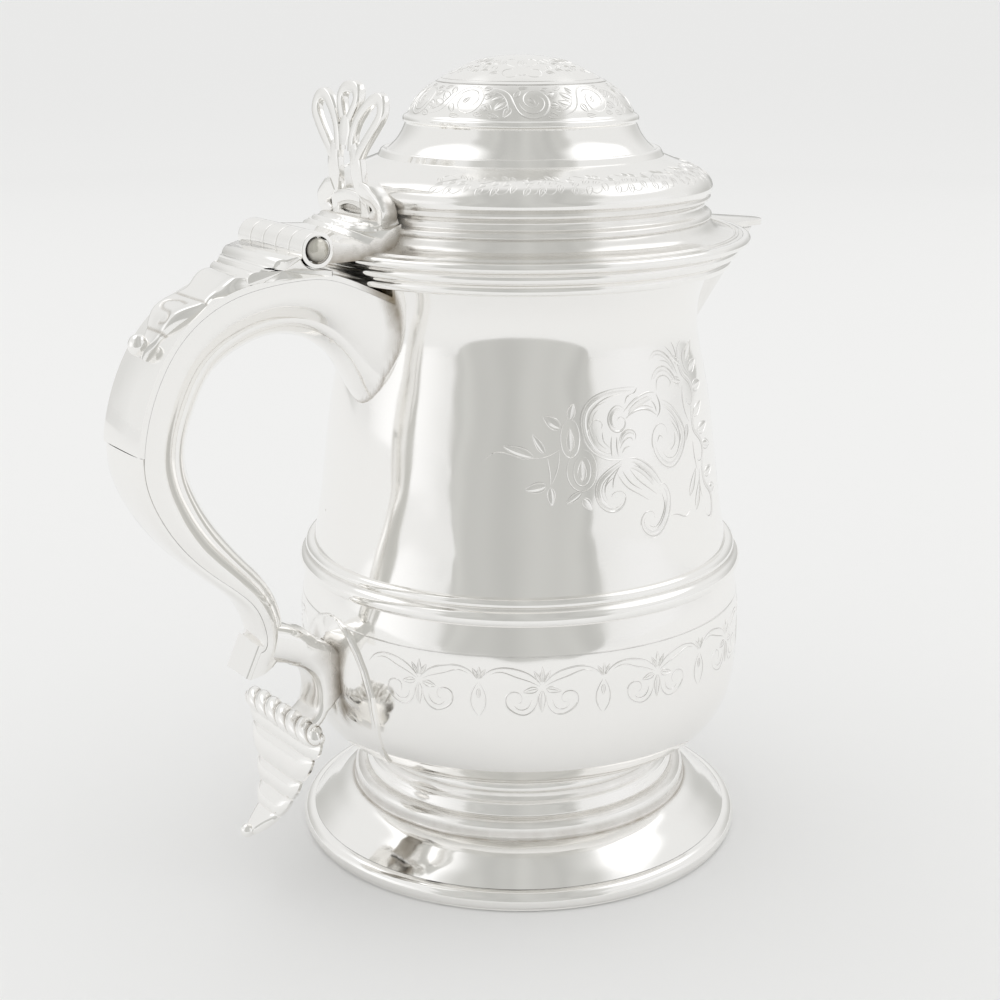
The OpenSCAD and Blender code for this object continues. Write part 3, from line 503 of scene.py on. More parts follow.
# %% [markdown]
# ## The body
# The barrel is raised from one sheet: hammered up over stakes, then planished smooth. Its outline is a
# spline through a dozen measured points, turned about the axis, with the inner wall a millimetre inside.
# Behind the spout the sheet is pierced with a V, so each row of the grid starts at the V's edge.

# %% Body outline and the beak's section
WALL = 1.1
LIP_Z = 153.0
BASE_Z = 26.4
NOSE_X = 75.5
BEAK_WALL = 1.2
body_line = curve(
    [(38.5, BASE_Z), (46.64, 28.4), (51.8, 33), (55.2, 40.5), (56.2, 52), (55.6, 66), (53.4, 75), (50.24, 91.9),
     (46.15, 120.5), (44.1, 140), (46.33, 146.5), (49.4, LIP_Z)], 166)


def body_r(z):
    """The body's outer radius at a height; past its ends it stays as it is there."""
    return np.interp(z, body_line[:, 1], body_line[:, 0])


def beak(x, down, inset):
    """A point of the beak's V, as (y, z): down runs from 0 at its rim to 1 at the keel, x from the axis."""
    half = np.interp(x, [37.9, 71.0, 74.0, NOSE_X], [20.1, 4.4, 2.6, 1.1]) - 1.2 * inset
    top = np.interp(x, [37.9, NOSE_X], [152.9, 150.4])
    keel = np.interp(x, [46.9, 58.0, 72.0, 74.2, NOSE_X], [113.0, 127.6, 144.6, 147.2, 149.6]) + 1.5 * inset
    return np.maximum(half, 0.15) * (1 - down) ** 0.92, top - (top - keel) * down


def beak_root(down, inset):
    """Where the beak's V meets the body: x is stepped until its radius is the body's at that height."""
    x = np.full_like(down, 47.0)
    for _ in range(40):
        y, z = beak(x, down, inset)
        x = 0.5 * x + 0.5 * np.sqrt(np.maximum(body_r(z) ** 2 - y**2, 1))
    y, z = beak(x, down, inset)
    return x, y, z


# %% Body, pierced behind the spout
steps = 1 - np.linspace(1, 0, 60) ** 1.6
hole_x, hole_y, hole_z = beak_root(steps[::-1], BEAK_WALL)
apex_z = hole_z[0]
heights = body_line[:, 1]
rows = np.sort(np.append(heights[np.abs(heights - apex_z) > 0.3], apex_z))
outer = np.stack([body_r(rows), rows], -1)
inner = offset(outer, WALL)
inner[-1, 1] = LIP_Z
hole_angle = np.arctan2(np.interp(rows, hole_z, hole_y), np.interp(rows, hole_z, hole_x))
gape = np.where(rows > apex_z, hole_angle, 0.0)


def pierced(profile, gap, around=AROUND):
    """Turns a profile about the axis from the gap's one edge to the other: a = gap + u (360 - 2 gap)."""
    u = np.linspace(0, 1, around + 1)[None, :]
    a = gap[:, None] + u * (2 * np.pi - 2 * gap[:, None])
    r, z = profile[:, :1], profile[:, 1:]
    return spread(r * np.cos(a), r * np.sin(a), z)


wall_line = path([(0, BASE_Z), (20, BASE_Z)], outer, inner[::-1], [(20, BASE_Z + WALL), (0, BASE_Z + WALL)])
wall_gap = np.concatenate([[0, 0], gape, gape[::-1], [0, 0]])
body_grid = pierced(wall_line, wall_gap)
count = len(outer)
open_rows = np.arange(np.argmax(rows >= apex_z), count)
edges = [np.stack([body_grid[2 + open_rows, e], body_grid[1 + 2 * count - open_rows, e]], 1) for e in (0, -1)]
# a cloth hardly reaches the inside, so it is duller than the outside
dull_inside = np.zeros(body_grid.shape[:2])
dull_inside[count + 4 :] = 0.3
piece("body_barrel_raised", [grid_part(g) for g in (body_grid, *edges)], polished, "jug", ["body_barrel"],
      tarnish_and_shade=dull_inside)

# %% [markdown]
# ## The spout
# The beak is bent from sheet into a V and soldered over the piercing. Its section is drawn at every
# distance from the axis, outside and inside, and starts on the body's own surface.

# %% Spout
across = np.concatenate([steps, steps[::-1][1:]])
sign = np.repeat([1.0, -1.0], [len(steps), len(steps) - 1])


def beak_sheet(inset, nose):
    """One side of the beak: straight in x from the body to the nose, with the V's section at each x."""
    root = beak_root(across, inset)[0][None, :]
    tip = NOSE_X - nose - 2.6 * across[None, :] ** 2
    x = root - 0.3 + (tip - root + 0.3) * np.linspace(0, 1, 40)[:, None]
    y, z = beak(x, across[None, :], inset)
    return np.stack([x, y * sign, z], -1)


beak_parts = shell(beak_sheet(0.0, 0.0), beak_sheet(BEAK_WALL, 0.9))
piece("spout_beak", beak_parts, polished, "jug", ["spout"], tarnish_and_shade=0.09)

# %% [markdown]
# ## Applied mouldings and the foot
# Reeded wires are drawn through a shaped plate, bent round and soldered on. The foot is spun or raised in
# one stepped sheet with a heavy wire under its edge. All of them are closed outlines turned about the axis;
# the grooves between reeds stay crisp.

# %% Turned rings
def ring(name, profile, node, body="jug", tarnish_and_shade=None):
    """A ring turned from a closed outline of (radius, height); tarnish_and_shade gives one value for each outline
    point.
    """
    grid = lathe(profile)
    stain_and_shade = None if tarnish_and_shade is None else np.repeat(tarnish_and_shade, grid.shape[1])
    piece(name, [grid_part(grid, wrap_rows=True, wrap_cols=True)], polished, body, [node], tarnish_and_shade=stain_and_shade)


def on_body(z0, z1, out):
    """The body's outside between two heights, moved out a little."""
    z = np.linspace(z0, z1, 10)
    return np.stack([body_r(z) + out, z], -1)


lip_loop = path(arc((50.25, 148.65), 1.35, -85, 62, 14), arc((51.9, 151.5), 1.5, -58, 90, 16),
                on_body(LIP_Z, 147.35, -0.05))
lip_gap = np.full(len(lip_loop), np.arctan2(14.3, 47.0))
lip_grid = pierced(lip_loop, lip_gap, 260).transpose(1, 0, 2)
piece("lip_reeds", [tube(lip_grid)], polished, "jug", ["lip_moulding"])

girdle_line = path(arc((54.25, 73.7), 2.0, -88, 66, 22), [(54.62, 75.84)], arc((53.45, 77.0), 1.3, -42, 92, 18),
                   on_body(78.3, 71.7, -0.05))
# a little dirt stays between the reeds and along the lower edge
girdle_dirt = sum(0.2 * bell(girdle_line[:, 1] - z, 0.22) for z in (71.7, 75.9))
ring("girdle_reeds", girdle_line, "girdle_moulding", tarnish_and_shade=girdle_dirt)

# %% Collar and foot
# the collar's lower band is steep, with a cove over it and a steep reed at the top, so each catches the side lights
collar_band = curve([(40.55, 17.25), (40.3, 18.1), (39.95, 19.05), (39.68, 19.75), (39.35, 20.1)], 16)
collar_cove = curve([(39.0, 20.35), (38.65, 20.9), (38.45, 21.6), (38.35, 22.3)], 10)
collar_reed = curve([(38.42, 22.5), (38.62, 23.1), (38.55, 23.9), (38.2, 24.7), (37.75, 25.5), (37.2, 26.35)], 20)
collar_line = path([(36.5, 17.05), (40.55, 17.05)], collar_band, collar_cove, collar_reed, [(36.5, BASE_Z)])
collar_z = collar_line[:, 1]
# the cove is painted a little darker as a reflection of the belly, with a darker line where it meets the reed
collar_line_and_reflection = 0.25 * bell(collar_z - 22.4, 0.2) + 0.1 * (np.abs(collar_z - 21.2) < 1.0)
ring("foot_collar_reeds", collar_line, "foot_collar", tarnish_and_shade=collar_line_and_reflection)
foot_slope = curve([(44.2, 12.05), (46.2, 11.1), (48.8, 9.3), (51.7, 7.15), (54.4, 4.85)], 34)
foot_bulge = arc((40.75, 14.5), 2.7, 78, 0, 20)
foot_cove = curve([(43.46, 14.0), (43.5, 13.3), (43.65, 12.6), (43.95, 12.2)], 10)
foot_line = path([(39.6, 17.15)], foot_bulge, foot_cove, foot_slope,
                 [(53.3, 4.85), (50.6, 6.1), (46.5, 7.7), (42.3, 8.3), (42.3, 10.0), (37.6, 12.35), (36.5, 17.15)])
# under the bulge the foot is painted darker as shade, most in the corner where the slope starts, and the bulge's top
# a little darker as a painted reflection of the belly
foot_z = foot_line[:, 1]
foot_shade_and_reflection = np.interp(foot_z, [12.0, 12.1, 14.0, 14.8, 15.8, 16.4], [0, 0.26, 0.22, 0.04, 0.04, 0.16])
ring("foot_stepped", foot_line, "foot", tarnish_and_shade=foot_shade_and_reflection + 0.4 * bell(foot_z - 12.2, 0.25))
rim_line = path([(52.7, 0), (55.9, 0), (56.5, 0.25)], arc((54.9, 2.4), 2.4, -50, 92, 22), [(52.7, 4.8)])
ring("foot_rim_bead", rim_line, "foot_rim_wire")

# %% [markdown]
# ## The lid
# The lid is raised like the body: a wide flange, a cove and bulge at the shoulder, a hollow neck and a low
# dome whose edge overhangs as a fine bead. A wire stiffens the flange, and a bezel under it drops inside
# the mouth. The outline is joined from splines and arcs so that beads and fillets keep their own edges.

# %% Lid, rim wire and bezel
lid_shoulder = curve([(45.95, 164.9), (46.5, 166.3), (45.9, 168.2), (43.9, 170.0), (41.0, 171.3), (37.6, 172.5),
                      (34.6, 173.7)], 34)
dome_side = curve([(27.3, 183.5), (25.4, 186.7), (20.3, 190.95)], 22)
dome_top = curve([(20.1, 191.0), (13.5, 194.5), (6.6, 196.4), (0, 197)], 26)
lid_out = path(
    [(54.11, 155.2), (53.3, 155.3)],
    arc((52.9, 155.32), 0.28, 0, 180, 6),
    arc((52.1, 155.42), 0.28, 0, 180, 6),
    curve([(51.6, 155.42), (49.6, 155.8), (47.6, 156.7), (46.5, 158.3)], 14),
    arc((45.35, 159.6), 1.15, -48, 62, 12),
    curve([(45.3, 160.9), (44.75, 161.7), (44.75, 162.7), (45.35, 163.5)], 10),
    [(45.9, 163.7), (46.05, 164.2), (45.85, 164.75)],
    lid_shoulder,
    arc((33.2, 174.6), 0.8, 20, 120, 8),
    curve([(32.3, 175.2), (30.6, 176.7), (29.0, 178.9), (27.9, 181.2)], 18),
    arc((27.5, 182.3), 0.95, -60, 75, 12),
    dome_side,
    dome_top,
)
lid_in = curve([(0, 196), (6.5, 195.4), (13.1, 193.5), (19.7, 190.1), (24.4, 186.1), (26.5, 182.6), (28.4, 178.0),
                (31.3, 174.6), (37.8, 171.2), (43.2, 168.6), (45.2, 165.4), (43.9, 161.8), (43.85, 159.2)], 60)
lid_grid = lathe(path(lid_in, [(43.85, 153.1), (54.11, 153.1)], lid_out))
lid_x, lid_y, lid_z = np.moveaxis(lid_grid, -1, 0)
# dirt lies on the flange about the hinge, and the inside is as dull as the body's
from_hinge = np.hypot(lid_y / 1.6, lid_x + 44) / 15
lid_dirt = np.maximum(0.6 * clamp(1 - from_hinge**2) * clamp((170 - lid_z) / 8), 0.08 * (lid_z < 165))
lid_dirt[: len(lid_in)] = 0.3
piece("lid_raised", [grid_part(lid_grid, wrap_cols=True)], polished, "lid", ["lid_dome"], tarnish_and_shade=lid_dirt)
wire_line = path([(54.16, 153.1), (55.0, 153.1)], arc((54.95, 154.15), 1.05, -88, 90, 18), [(54.16, 155.2)])
ring("lid_rim_bead", wire_line, "lid_rim_wire", "lid")
bezel_line = [(44.25, 148.5), (44.85, 148.5), (45.35, 149.3), (45.35, 153.05), (44.25, 153.05)]
ring("bezel_ring", bezel_line, "lid_bezel", "lid")

# %% [markdown]
# ## The tongue over the spout
# A small arched roof is soldered to the flange and covers the beak's open top. It is part of a cylinder
# that falls towards the tip, with a rounded nose.

# %% Tongue
ARCH_OVER = 44.0
run = 48 + 30 * np.sin(np.linspace(0, np.pi / 2, 60)) ** 1.3
nose_half = np.sqrt(np.maximum(5.6**2 - (run - 72.4) ** 2, 0))
half_run = np.where(run < 75.03, np.interp(run, [48, 55, 75.03], [15.5, 13.0, 4.94]), nose_half)[:, None]
y = np.linspace(-1, 1, 33)[None, :] * half_run
roof = 156.1 + np.sqrt(ARCH_OVER**2 - y**2) - ARCH_OVER - 0.1195 * (run[:, None] - 49.4)
thick = 1.5 * np.minimum(1, half_run / 2.5)
tongue_grid = sandwich(spread(run[:, None], y, roof), spread(run[:, None], y * 0.985, roof - thick))
piece("tongue_arched", [tube(tongue_grid)], polished, "lid", ["lid_spout_tongue"], tarnish_and_shade=0.08)

# %% [markdown]
# ## The handle
# The handle is a hollow tube of two sheets: a channel with an arris along each side, and a strap that
# closes its back and ends at a visible seam. Both are swept through the same rows, which give the back,
# the inner face and half the width. Where the root enters the body, its points stop inside the wall.

# %% Rows of the handle
TOP_Z = 151.5
SEAM_Z = 115.5
ROOT_ROWS = 40  # rows near the body, which pass the seam's height too
handle_rows = curve(
    [(38.1, -10, 38.1, -42.5, 12.5), (51, -3.6, 48, -31.4, 10.5), (59, -0.6, 53.5, -22, 9.5), (67, 0, 62, -15.8, 9.5),
     (76, -0.8, 71.3, -14.5, 9.5), (86, -3.5, 79.4, -17, 9.5), (95.5, -9.9, 85.6, -21.3, 9.5),
     (102.2, -19.5, 89.8, -28.5, 9.5), (106, -30, 92.4, -36.3, 9.5), (107, -40.5, 92.3, -43, 9.5),
     (103.6, -51, 89.7, -50.2, 9.07), (96, -62, 84.6, -58.9, 8.0), (87, -70.5, 78.6, -66.5, 6.92),
     (81, -76.3, 73.8, -72.5, 6.15), (78.3, -81.1, 70.6, -79.3, 5.63), (77.3, -84.5, 70, -85.5, 5.2),
     (77, -86.2, 72.5, -91.7, 5.2), (77.1, -87, 80.6, -94.4, 5.2)], 240)
back = np.stack([-handle_rows[:, 0], TOP_Z + handle_rows[:, 1]], -1)
inside = np.stack([-handle_rows[:, 2], TOP_Z + handle_rows[:, 3]], -1)
deep = np.linalg.norm(inside - back, axis=1)
inward = (inside - back) / deep[:, None]
wide = handle_rows[:, 4]
SEAM = int(np.argmin(np.abs(back[:, 1] - SEAM_Z)[ROOT_ROWS:]) + ROOT_ROWS)
print("handle rows", len(handle_rows), "seam at row", SEAM)


def handle_grid(rows, across_share, depth_mm):
    """Points of the handle's section: across in half widths, depth in millimetres inwards from the back."""
    p = back[rows][:, None] + inward[rows][:, None] * depth_mm[..., None]
    grid = spread(p[..., 0], across_share * wide[rows][:, None], p[..., 1])
    r = np.hypot(grid[..., 0], grid[..., 1])
    grid[..., :2] *= (np.maximum(r, body_r(grid[..., 2]) - 0.5) / r)[..., None]
    return grid


def near_body(grid, reach):
    """How close points lie to the body's outside: 1 on it, 0 at a distance of reach."""
    out = np.hypot(grid[..., 0], grid[..., 1]) - body_r(grid[..., 2])
    return clamp(1 - out / reach)


def with_ends(values):
    """Values of a grid with its first and last row doubled, as closed ends need."""
    return np.pad(values, ((1, 1), (0, 0)), mode="edge").ravel()


# %% Channel of the handle
STRAP = 1.5
SQUARE_FROM, SQUARE_OVER = 222, 14  # first row that squares up, and over how many
side_run = [(1, 0), (1, 0.12), (0.995, 0.25), (0.985, 0.29), (0.955, 0.36), (0.9, 0.45), (0.81, 0.55), (0.69, 0.645)]
bead_run = [(0.685, 0.67), (0.665, 0.73), (0.62, 0.79), (0.555, 0.83)]
face_run = [(0.53, 0.845), (0.45, 0.895), (0.3, 0.955), (0.15, 0.99), (0, 1)]
half_section = path(side_run, bead_run, face_run)
section = path(half_section, half_section[-2::-1] * [-1, 1])
# towards the cut end the section squares up, so that the end is a plain rectangle
square = np.clip(section / face_run[0], [-1, 0], 1)
all_rows = np.arange(len(handle_rows))
squaring = clamp((all_rows - SQUARE_FROM) / SQUARE_OVER)[:, None]
shares = section + (square - section) * squaring[..., None]
channel_grid = handle_grid(all_rows, shares[..., 0], STRAP + shares[..., 1] * (deep[:, None] - STRAP))
upper_root = clamp((channel_grid[..., 2] - 128) / 14)
stain_and_shade = np.maximum(0.9 * near_body(channel_grid, 3.5) * upper_root, 0.6 * near_body(channel_grid, 0.9))
piece("handle_channel_swept", [tube(channel_grid)], polished, "jug", ["handle_channel"], sharp=26,
      tarnish_and_shade=with_ends(stain_and_shade))

# %% Strap, lower back and end cap
flat = np.linspace(1, -1, 17)
strap_u, strap_v = np.append(flat, [-1, 1])[None, :], np.append(-0.25 * (1 - flat**2), [1.45, 1.45])[None, :]
strap_grid = handle_grid(all_rows[: SEAM + 1], strap_u, strap_v)
piece("handle_strap_flat", [tube(strap_grid)], polished, "jug", ["handle_back_strap"], sharp=26,
      tarnish_and_shade=with_ends(near_body(strap_grid, 7)))

low_rows = all_rows[SEAM:]
crown = 0.7 * np.abs(flat) ** 6 - 0.5 * (1 - flat**2)
low_u, low_v = np.append(flat * 0.99, [-0.97, 0.97])[None, :], np.append(crown, [1.46, 1.46])[None, :]
flatten = squaring[low_rows] * (np.arange(low_v.size) < len(crown))
low_grid = handle_grid(low_rows, low_u, low_v * (1 - flatten) - 0.2 * flatten)
low_grid[0, :, 2] -= 0.12
piece("handle_back_crowned", [tube(low_grid)], polished, "jug", ["handle_lower_back"])

cap_rim = handle_grid(all_rows[-1:], square[None, :, 0] * 0.99, square[None, :, 1] * (deep[-1] + 0.2) - 0.2)[0]
cap_out = np.array([inward[-1, 1], 0, -inward[-1, 0]])
cap_mid = cap_rim.mean(0)
cap_small = cap_mid + (cap_rim - cap_mid) * 0.96
cap_grid = np.stack([cap_rim - cap_out * 0.08, cap_rim + cap_out, cap_small + cap_out * 1.25])
piece("handle_cap_plate", [tube(cap_grid)], polished, "jug", ["handle_end_cap"])

# %% [markdown]
# ## Leaf and bead on the handle's back
# The cast leaf lies on the strap below the hinge: two humps with a pinched bud between them at each edge,
# then a narrow tongue that ends in a bead. It is a swept grid whose height and width change along it. The
# S-curl and the two creases are cut into its height by their distance from a line.

# %% Leaf and bead
LEAF_HALF = 9.5
leaf_rows = np.flatnonzero((handle_rows[:, 0] > 78.8) & (handle_rows[:, 0] < 101.0) & (back[:, 1] > 130))
leaf_at = np.linspace(leaf_rows[0], leaf_rows[-1], 150)
leaf_back, leaf_in = [np.stack([np.interp(leaf_at, all_rows, c) for c in line.T], -1) for line in (back, inward)]
leaf_half = curve([(0, 0.99), (0.15, 0.97), (0.27, 0.9), (0.33, 0.74), (0.39, 0.85), (0.52, 0.84), (0.64, 0.7),
                   (0.72, 0.52), (0.78, 0.34), (0.88, 0.28), (1, 0.22)], len(leaf_at))[:, 1:]
leaf_high = curve([(0, 2.2), (0.12, 2.6), (0.26, 1.9), (0.33, 0.8), (0.4, 1.5), (0.54, 2.5), (0.68, 2.1), (0.74, 1.2),
                   (0.8, 1.3), (0.9, 1.8), (1, 1.4)], len(leaf_at))[:, 1:]
over = np.cos(np.linspace(0, np.pi, 81))
lift = np.append((0.88 + 0.2 * np.abs(over) ** 3) * (1 - np.abs(over) ** 14), [-0.03, -0.03])
leaf_y = np.append(over, [-0.97, 0.97]) * leaf_half * LEAF_HALF
leaf_run = np.linspace(0, 1, len(leaf_at))[:, None] * length_along(leaf_back)[-1]
curl = [12.9, 0] + curve([(0, -3), (0, 2.6), (1.2, 4.4), (2.6, 3.4), (3.4, 0), (4.2, -3.2), (5.4, -4), (6.2, -2.6),
                          (6.4, -1)], 60)
gap = np.hypot(leaf_run[..., None] - curl[:, 0], leaf_y[..., None] - curl[:, 1]).min(-1)
cut = bell(gap, 0.38) + sum(bell(leaf_run - at, 0.35) for at in (10.6, 21.0))
cut[:, -2:] = 0
rise = lift * leaf_high - 0.22 * cut * (np.abs(lift) > 0.5)
leaf_points = leaf_back[:, None] - leaf_in[:, None] * rise[..., None]
leaf_grid = np.stack([leaf_points[..., 0], leaf_y, leaf_points[..., 1]], -1)
piece("back_leaf_lobed", [tube(leaf_grid)], polished, "jug", ["handle_back_leaf"], sharp=40,
      tarnish_and_shade=with_ends(0.4 * cut))


def ball(centre, radius, axis, stretch=1.0):
    """A ball, drawn out along an axis by a factor towards its far end."""
    w = unit(np.array(axis, float))
    a = unit(np.cross(w, (0.31, 0.82, 0.48)))
    b = np.cross(w, a)
    t = np.linspace(0, np.pi, 24)[:, None, None]
    f = circle(32)[..., None]
    up = np.cos(t) * np.where(np.cos(t) > 0, stretch, 1)
    grid = np.array(centre) + radius * (w * up + np.sin(t) * (a * np.cos(f) + b * np.sin(f)))
    return grid_part(grid, wrap_cols=True)


piece("leaf_bead", [ball((-101.5, 0, 138.4), 2.2, (-0.5, 0, -0.86), 1.2)], polished, "jug", ["back_leaf_bead"])

# %% [markdown]
# ## The hinge
# Five knuckles turn on one pin, two on the handle's seat and three on the lid's plate, with dark fine
# joints between them. The pin's ends are plugged by domed caps, which have gone dull. The seat steps down
# towards the leaf in ridges.

# %% Knuckles and seat
HINGE = np.array([-65.0, 0.0, 157.5])
KNUCKLE = 6.1  # length of one knuckle with its joints
JOINT = 0.09  # half the gap between two knuckles
PIN_AROUND = 72


def turned_y(profile, around=PIN_AROUND):
    """Turns a profile of (radius, y) about the hinge's axis."""
    r, y = np.asarray(profile, float).T[..., None]
    a = circle(around)
    return grid_part(HINGE + spread(r * np.cos(a), y, r * np.sin(a)), wrap_cols=True)


def knuckle(index):
    """One knuckle with rounded ends; the outer ends have a recess for a cap."""
    rounded = [(3.85, 0), (3.96, 0.04), (4, 0.15), (4, 0.4)]
    recess = [(0, 1.5), (3.0, 1.5), (3.0, 0.1), (3.1, 0)]
    near = path(recess if index == 0 else [(0, 0)], rounded)
    far = path(recess if index == 4 else [(0, 0)], rounded)[::-1]
    start, stop = KNUCKLE * (index - 2.5) + JOINT, KNUCKLE * (index - 1.5) - JOINT
    return turned_y(path(near + [0, start], far * [1, -1] + [0, stop]))


def slab(outline, half, bevel):
    """A closed outline of (x, z) carried along y to half on each side, with its ends rounded off."""
    small = outline + unit(outline.mean(0) - outline) * bevel
    mid = outline + (small - outline) * 0.3
    rows = [(small, -half), (mid, -half + bevel * 0.4), (outline, -half + bevel), (outline, half - bevel),
            (mid, half - bevel * 0.4), (small, half)]
    return tube(np.stack([np.stack([p[:, 0], y, p[:, 1]], -1) for p, y in rows]))


seat_line = path(
    curve([(-61.2, 151.4), (-67, 151.55), (-74, 151.1), (-79.2, 150.2)], 14), [(-79.6, 150.5)],
    arc((-77.6, 151.2), 1.9, 165, 95, 8), arc((-75.3, 152.3), 1.9, 165, 80, 10),
    arc((-72.8, 154.1), 1.9, 170, 75, 10),
    [(-71.2, 156.2), (-69.4, 156.6), (-68.6, 156.2)], arc((-65, 157.5), 4.3, 200, 262, 10),
    [(-62.5, 152.9), (-61.2, 152.6)])
seat_half = np.interp(seat_line[:, 0], [-79.6, -76.6, -75.2, -73.6, -72, -70, -61],
                      [9.6, 10.6, 12.6, 13.2, 14.6, 15.1, 15.1])
seat_parts = [slab(seat_line, seat_half, 0.5), knuckle(1), knuckle(3)]
piece("hinge_seat_ridged", seat_parts, polished, "jug", ["hinge_seat"], sharp=40)

# %% Hinge plate
PLATE_HALF = 15.1
plate_x = np.linspace(-65, -43.5, 70)[:, None]
plate_u = np.sin(np.linspace(-np.pi / 2, np.pi / 2, 81))[None, :]
plate_y = plate_u * PLATE_HALF
middle_z = np.interp(plate_x, [-65, -62, -55, -48, -43.5], [161.2, 161.2, 160.9, 161.4, 161.5])
edge_z = curve([(-65, 160.3), (-62.8, 159.4), (-54.6, 157.9), (-48.6, 158.3), (-43.5, 160.1)], 70)[:, 1:]
plate_z = middle_z + (edge_z - middle_z) * np.abs(plate_u) ** 2.5
# three steps climb towards the thumbpiece, each with a groove at its foot
from_fan = np.hypot(plate_x + 43.5, plate_y * 0.72)
for at in (13.4, 11.6, 9.8):
    plate_z = plate_z + 0.75 * ledge(from_fan - at, 0.14) - 0.35 * bell(from_fan - at - 0.5, 0.12**0.5)
below = np.interp(np.hypot(plate_x, plate_y), [44.2, 45.3, 46.5, 47.6, 49.6, 51.6, 54.1, 56, 60, 67],
                  [159.5, 158.8, 158.2, 156.6, 155.7, 155.3, 155.1, 154.3, 154.2, 154.3])
plate_low = spread(plate_x, plate_y * 0.985, np.minimum(below, plate_z - 0.6))
plate_grid = sandwich(spread(plate_x, plate_y, plate_z), plate_low)
stain_and_shade = np.concatenate([0.5 * bell(from_fan - 9.0, 0.3**0.5), np.full(from_fan.shape, 0.7)], 1)
plate_parts = [tube(plate_grid)] + [knuckle(i) for i in (0, 2, 4)]
piece("hinge_plate_curled", plate_parts, polished, "lid", ["lid_hinge_plate"], sharp=36, tarnish_and_shade=with_ends(stain_and_shade))

# %% Pin and caps
CAP_R = 2.72
rod = turned_y([(0, -13.4), (1.5, -13.4), (1.5, 13.4), (0, 13.4)], 32)
piece("pin_rod", [rod], dulled, "jug", ["hinge_pin"])
swing = np.linspace(0, np.pi / 2, 14)
cap_line = path(spread(CAP_R * np.sin(swing), 14.9 + 1.7 * np.cos(swing)), [(CAP_R, 13.75), (0, 13.75)])
caps = [turned_y(cap_line * [1, e]) for e in (1, -1)]
# the caps are painted darker as shade round their edge and on their underside, so the top of the dome reads light
cap_z = np.concatenate([points[:, 2] for points, _ in caps]) - HINGE[2]
cap_rim_shade = np.tile(np.repeat((cap_line[:, 0] / CAP_R) ** 9, PIN_AROUND), 2)
cap_shade = cap_rim_shade + np.clip(0.16 - 0.12 * cap_z, 0, 0.45)
piece("pin_caps_domed", caps, dulled, "lid", ["hinge_pin_caps"], tarnish_and_shade=cap_shade)

# %% [markdown]
# ## The thumbpiece
# A cast, pierced plate of scrolls that the thumb pushes back to open the lid: two tall loops, a small loop
# between their heads, stems with a slot between them, and a base with curled ends over a stepped fan. Each
# scroll is a bar with a rounded section, swept along a spline; the plate bows a little towards the handle.

# %% Bars of the thumbpiece
THUMB_X = -46.3
LID_SIDE_R = 45.8


def bar(line, width, thick, shift=0.0):
    """A bar along a line of (y, z) in the thumbpiece's plane, squarish in section, with its own width at each point.

    shift moves it towards the lid, where it stops inside the lid's wall."""
    run = curve([(*p, w) for p, w in zip(line, np.broadcast_to(width, len(line)))], 64)
    step = heading(run[:, :2])
    f = circle(20)
    side = squarish(np.cos(f), 0.4) * run[:, 2:] / 2
    y, z = run[:, :1] - step[:, 1:] * side, run[:, 1:2] + step[:, :1] * side
    bow = 2.2 * np.sin(clamp((z - 160) / 32) * np.pi)
    x = THUMB_X - bow + squarish(np.sin(f), 0.4) * thick / 2 + shift
    return np.stack([np.minimum(x, -np.sqrt(LID_SIDE_R**2 - y**2)), y, z], -1)


loop = [(-4.4, 174.0), (-7.0, 177.2), (-10.0, 180.2), (-13.0, 183.3), (-14.6, 186.2), (-13.5, 188.6), (-10.7, 188.7),
        (-7.7, 186.8), (-5.0, 184.0), (-3.3, 180.6), (-3.0, 177.0)]
loop_w = [2.8, 2.6, 2.5, 2.5, 2.7, 2.7, 2.5, 2.4, 2.3, 2.3, 2.6]
crest = [(-1.5, 184.2), (-2.8, 186.4), (-3.6, 188.4), (-2.9, 190.3), (0, 191.1), (2.9, 190.3), (3.6, 188.4),
         (2.8, 186.4), (1.5, 184.2)]
crest_w = [2.2, 2.2, 2.3, 2.5, 2.6, 2.5, 2.3, 2.2, 2.2]
stem = [(-3.9, 178.4), (-4.9, 175.4), (-5.1, 172.2), (-5.5, 169.0), (-6.3, 165.6), (-6.6, 161.4)]
stem_w = [3.4, 4.6, 5.0, 4.2, 3.4, 4.2]
wing = [(-6.0, 168.9), (-8.8, 167.6), (-11.0, 166.4), (-12.3, 164.8), (-12.2, 163.2), (-10.6, 162.3), (-8.6, 162.0)]
wing_w = [3.8, 5.0, 4.4, 5.0, 4.4, 4.6, 3.4]
web = [(0, 178.2), (0, 181.2), (0, 184.8)]
foot_arch = [(-5.4, 165.6), (-2.6, 166.3), (0, 166.5), (2.6, 166.3), (5.4, 165.6)]
base = [(-12.4, 161.7), (-6, 161.9), (0, 161.9), (6, 161.9), (12.4, 161.7)]
tie = [(-7.5, 164.1), (0, 164.2), (7.5, 164.1)]
halves = [(loop, loop_w, 2.0, 0.0), (stem, stem_w, 2.0, 0.0), (wing, wing_w, 4.4, 1.0)]
bars = [bar(np.array(line) * [e, 1], w, thick, shift) for line, w, thick, shift in halves for e in (1, -1)]
bars += [bar(crest, crest_w, 2.3), bar(web, [3.4, 5.2, 3.2], 2.1), bar(foot_arch, 3.8, 4.2, 1.0),
         bar(base, 3.2, 4.4, 1.0), bar(tie, 2.4, 1.2, 0.8)]
# dirt stays low down, on the side of the lid
low_dirt = [0.6 * clamp((168.5 - g[..., 2]) / 3) * clamp((g[..., 0] + 47.4) / 0.8) for g in bars]
piece("thumbpiece_scrolls", [tube(g) for g in bars], polished, "lid", ["thumbpiece"],
      tarnish_and_shade=np.concatenate([with_ends(dirt_and_shade) for dirt_and_shade in low_dirt]))

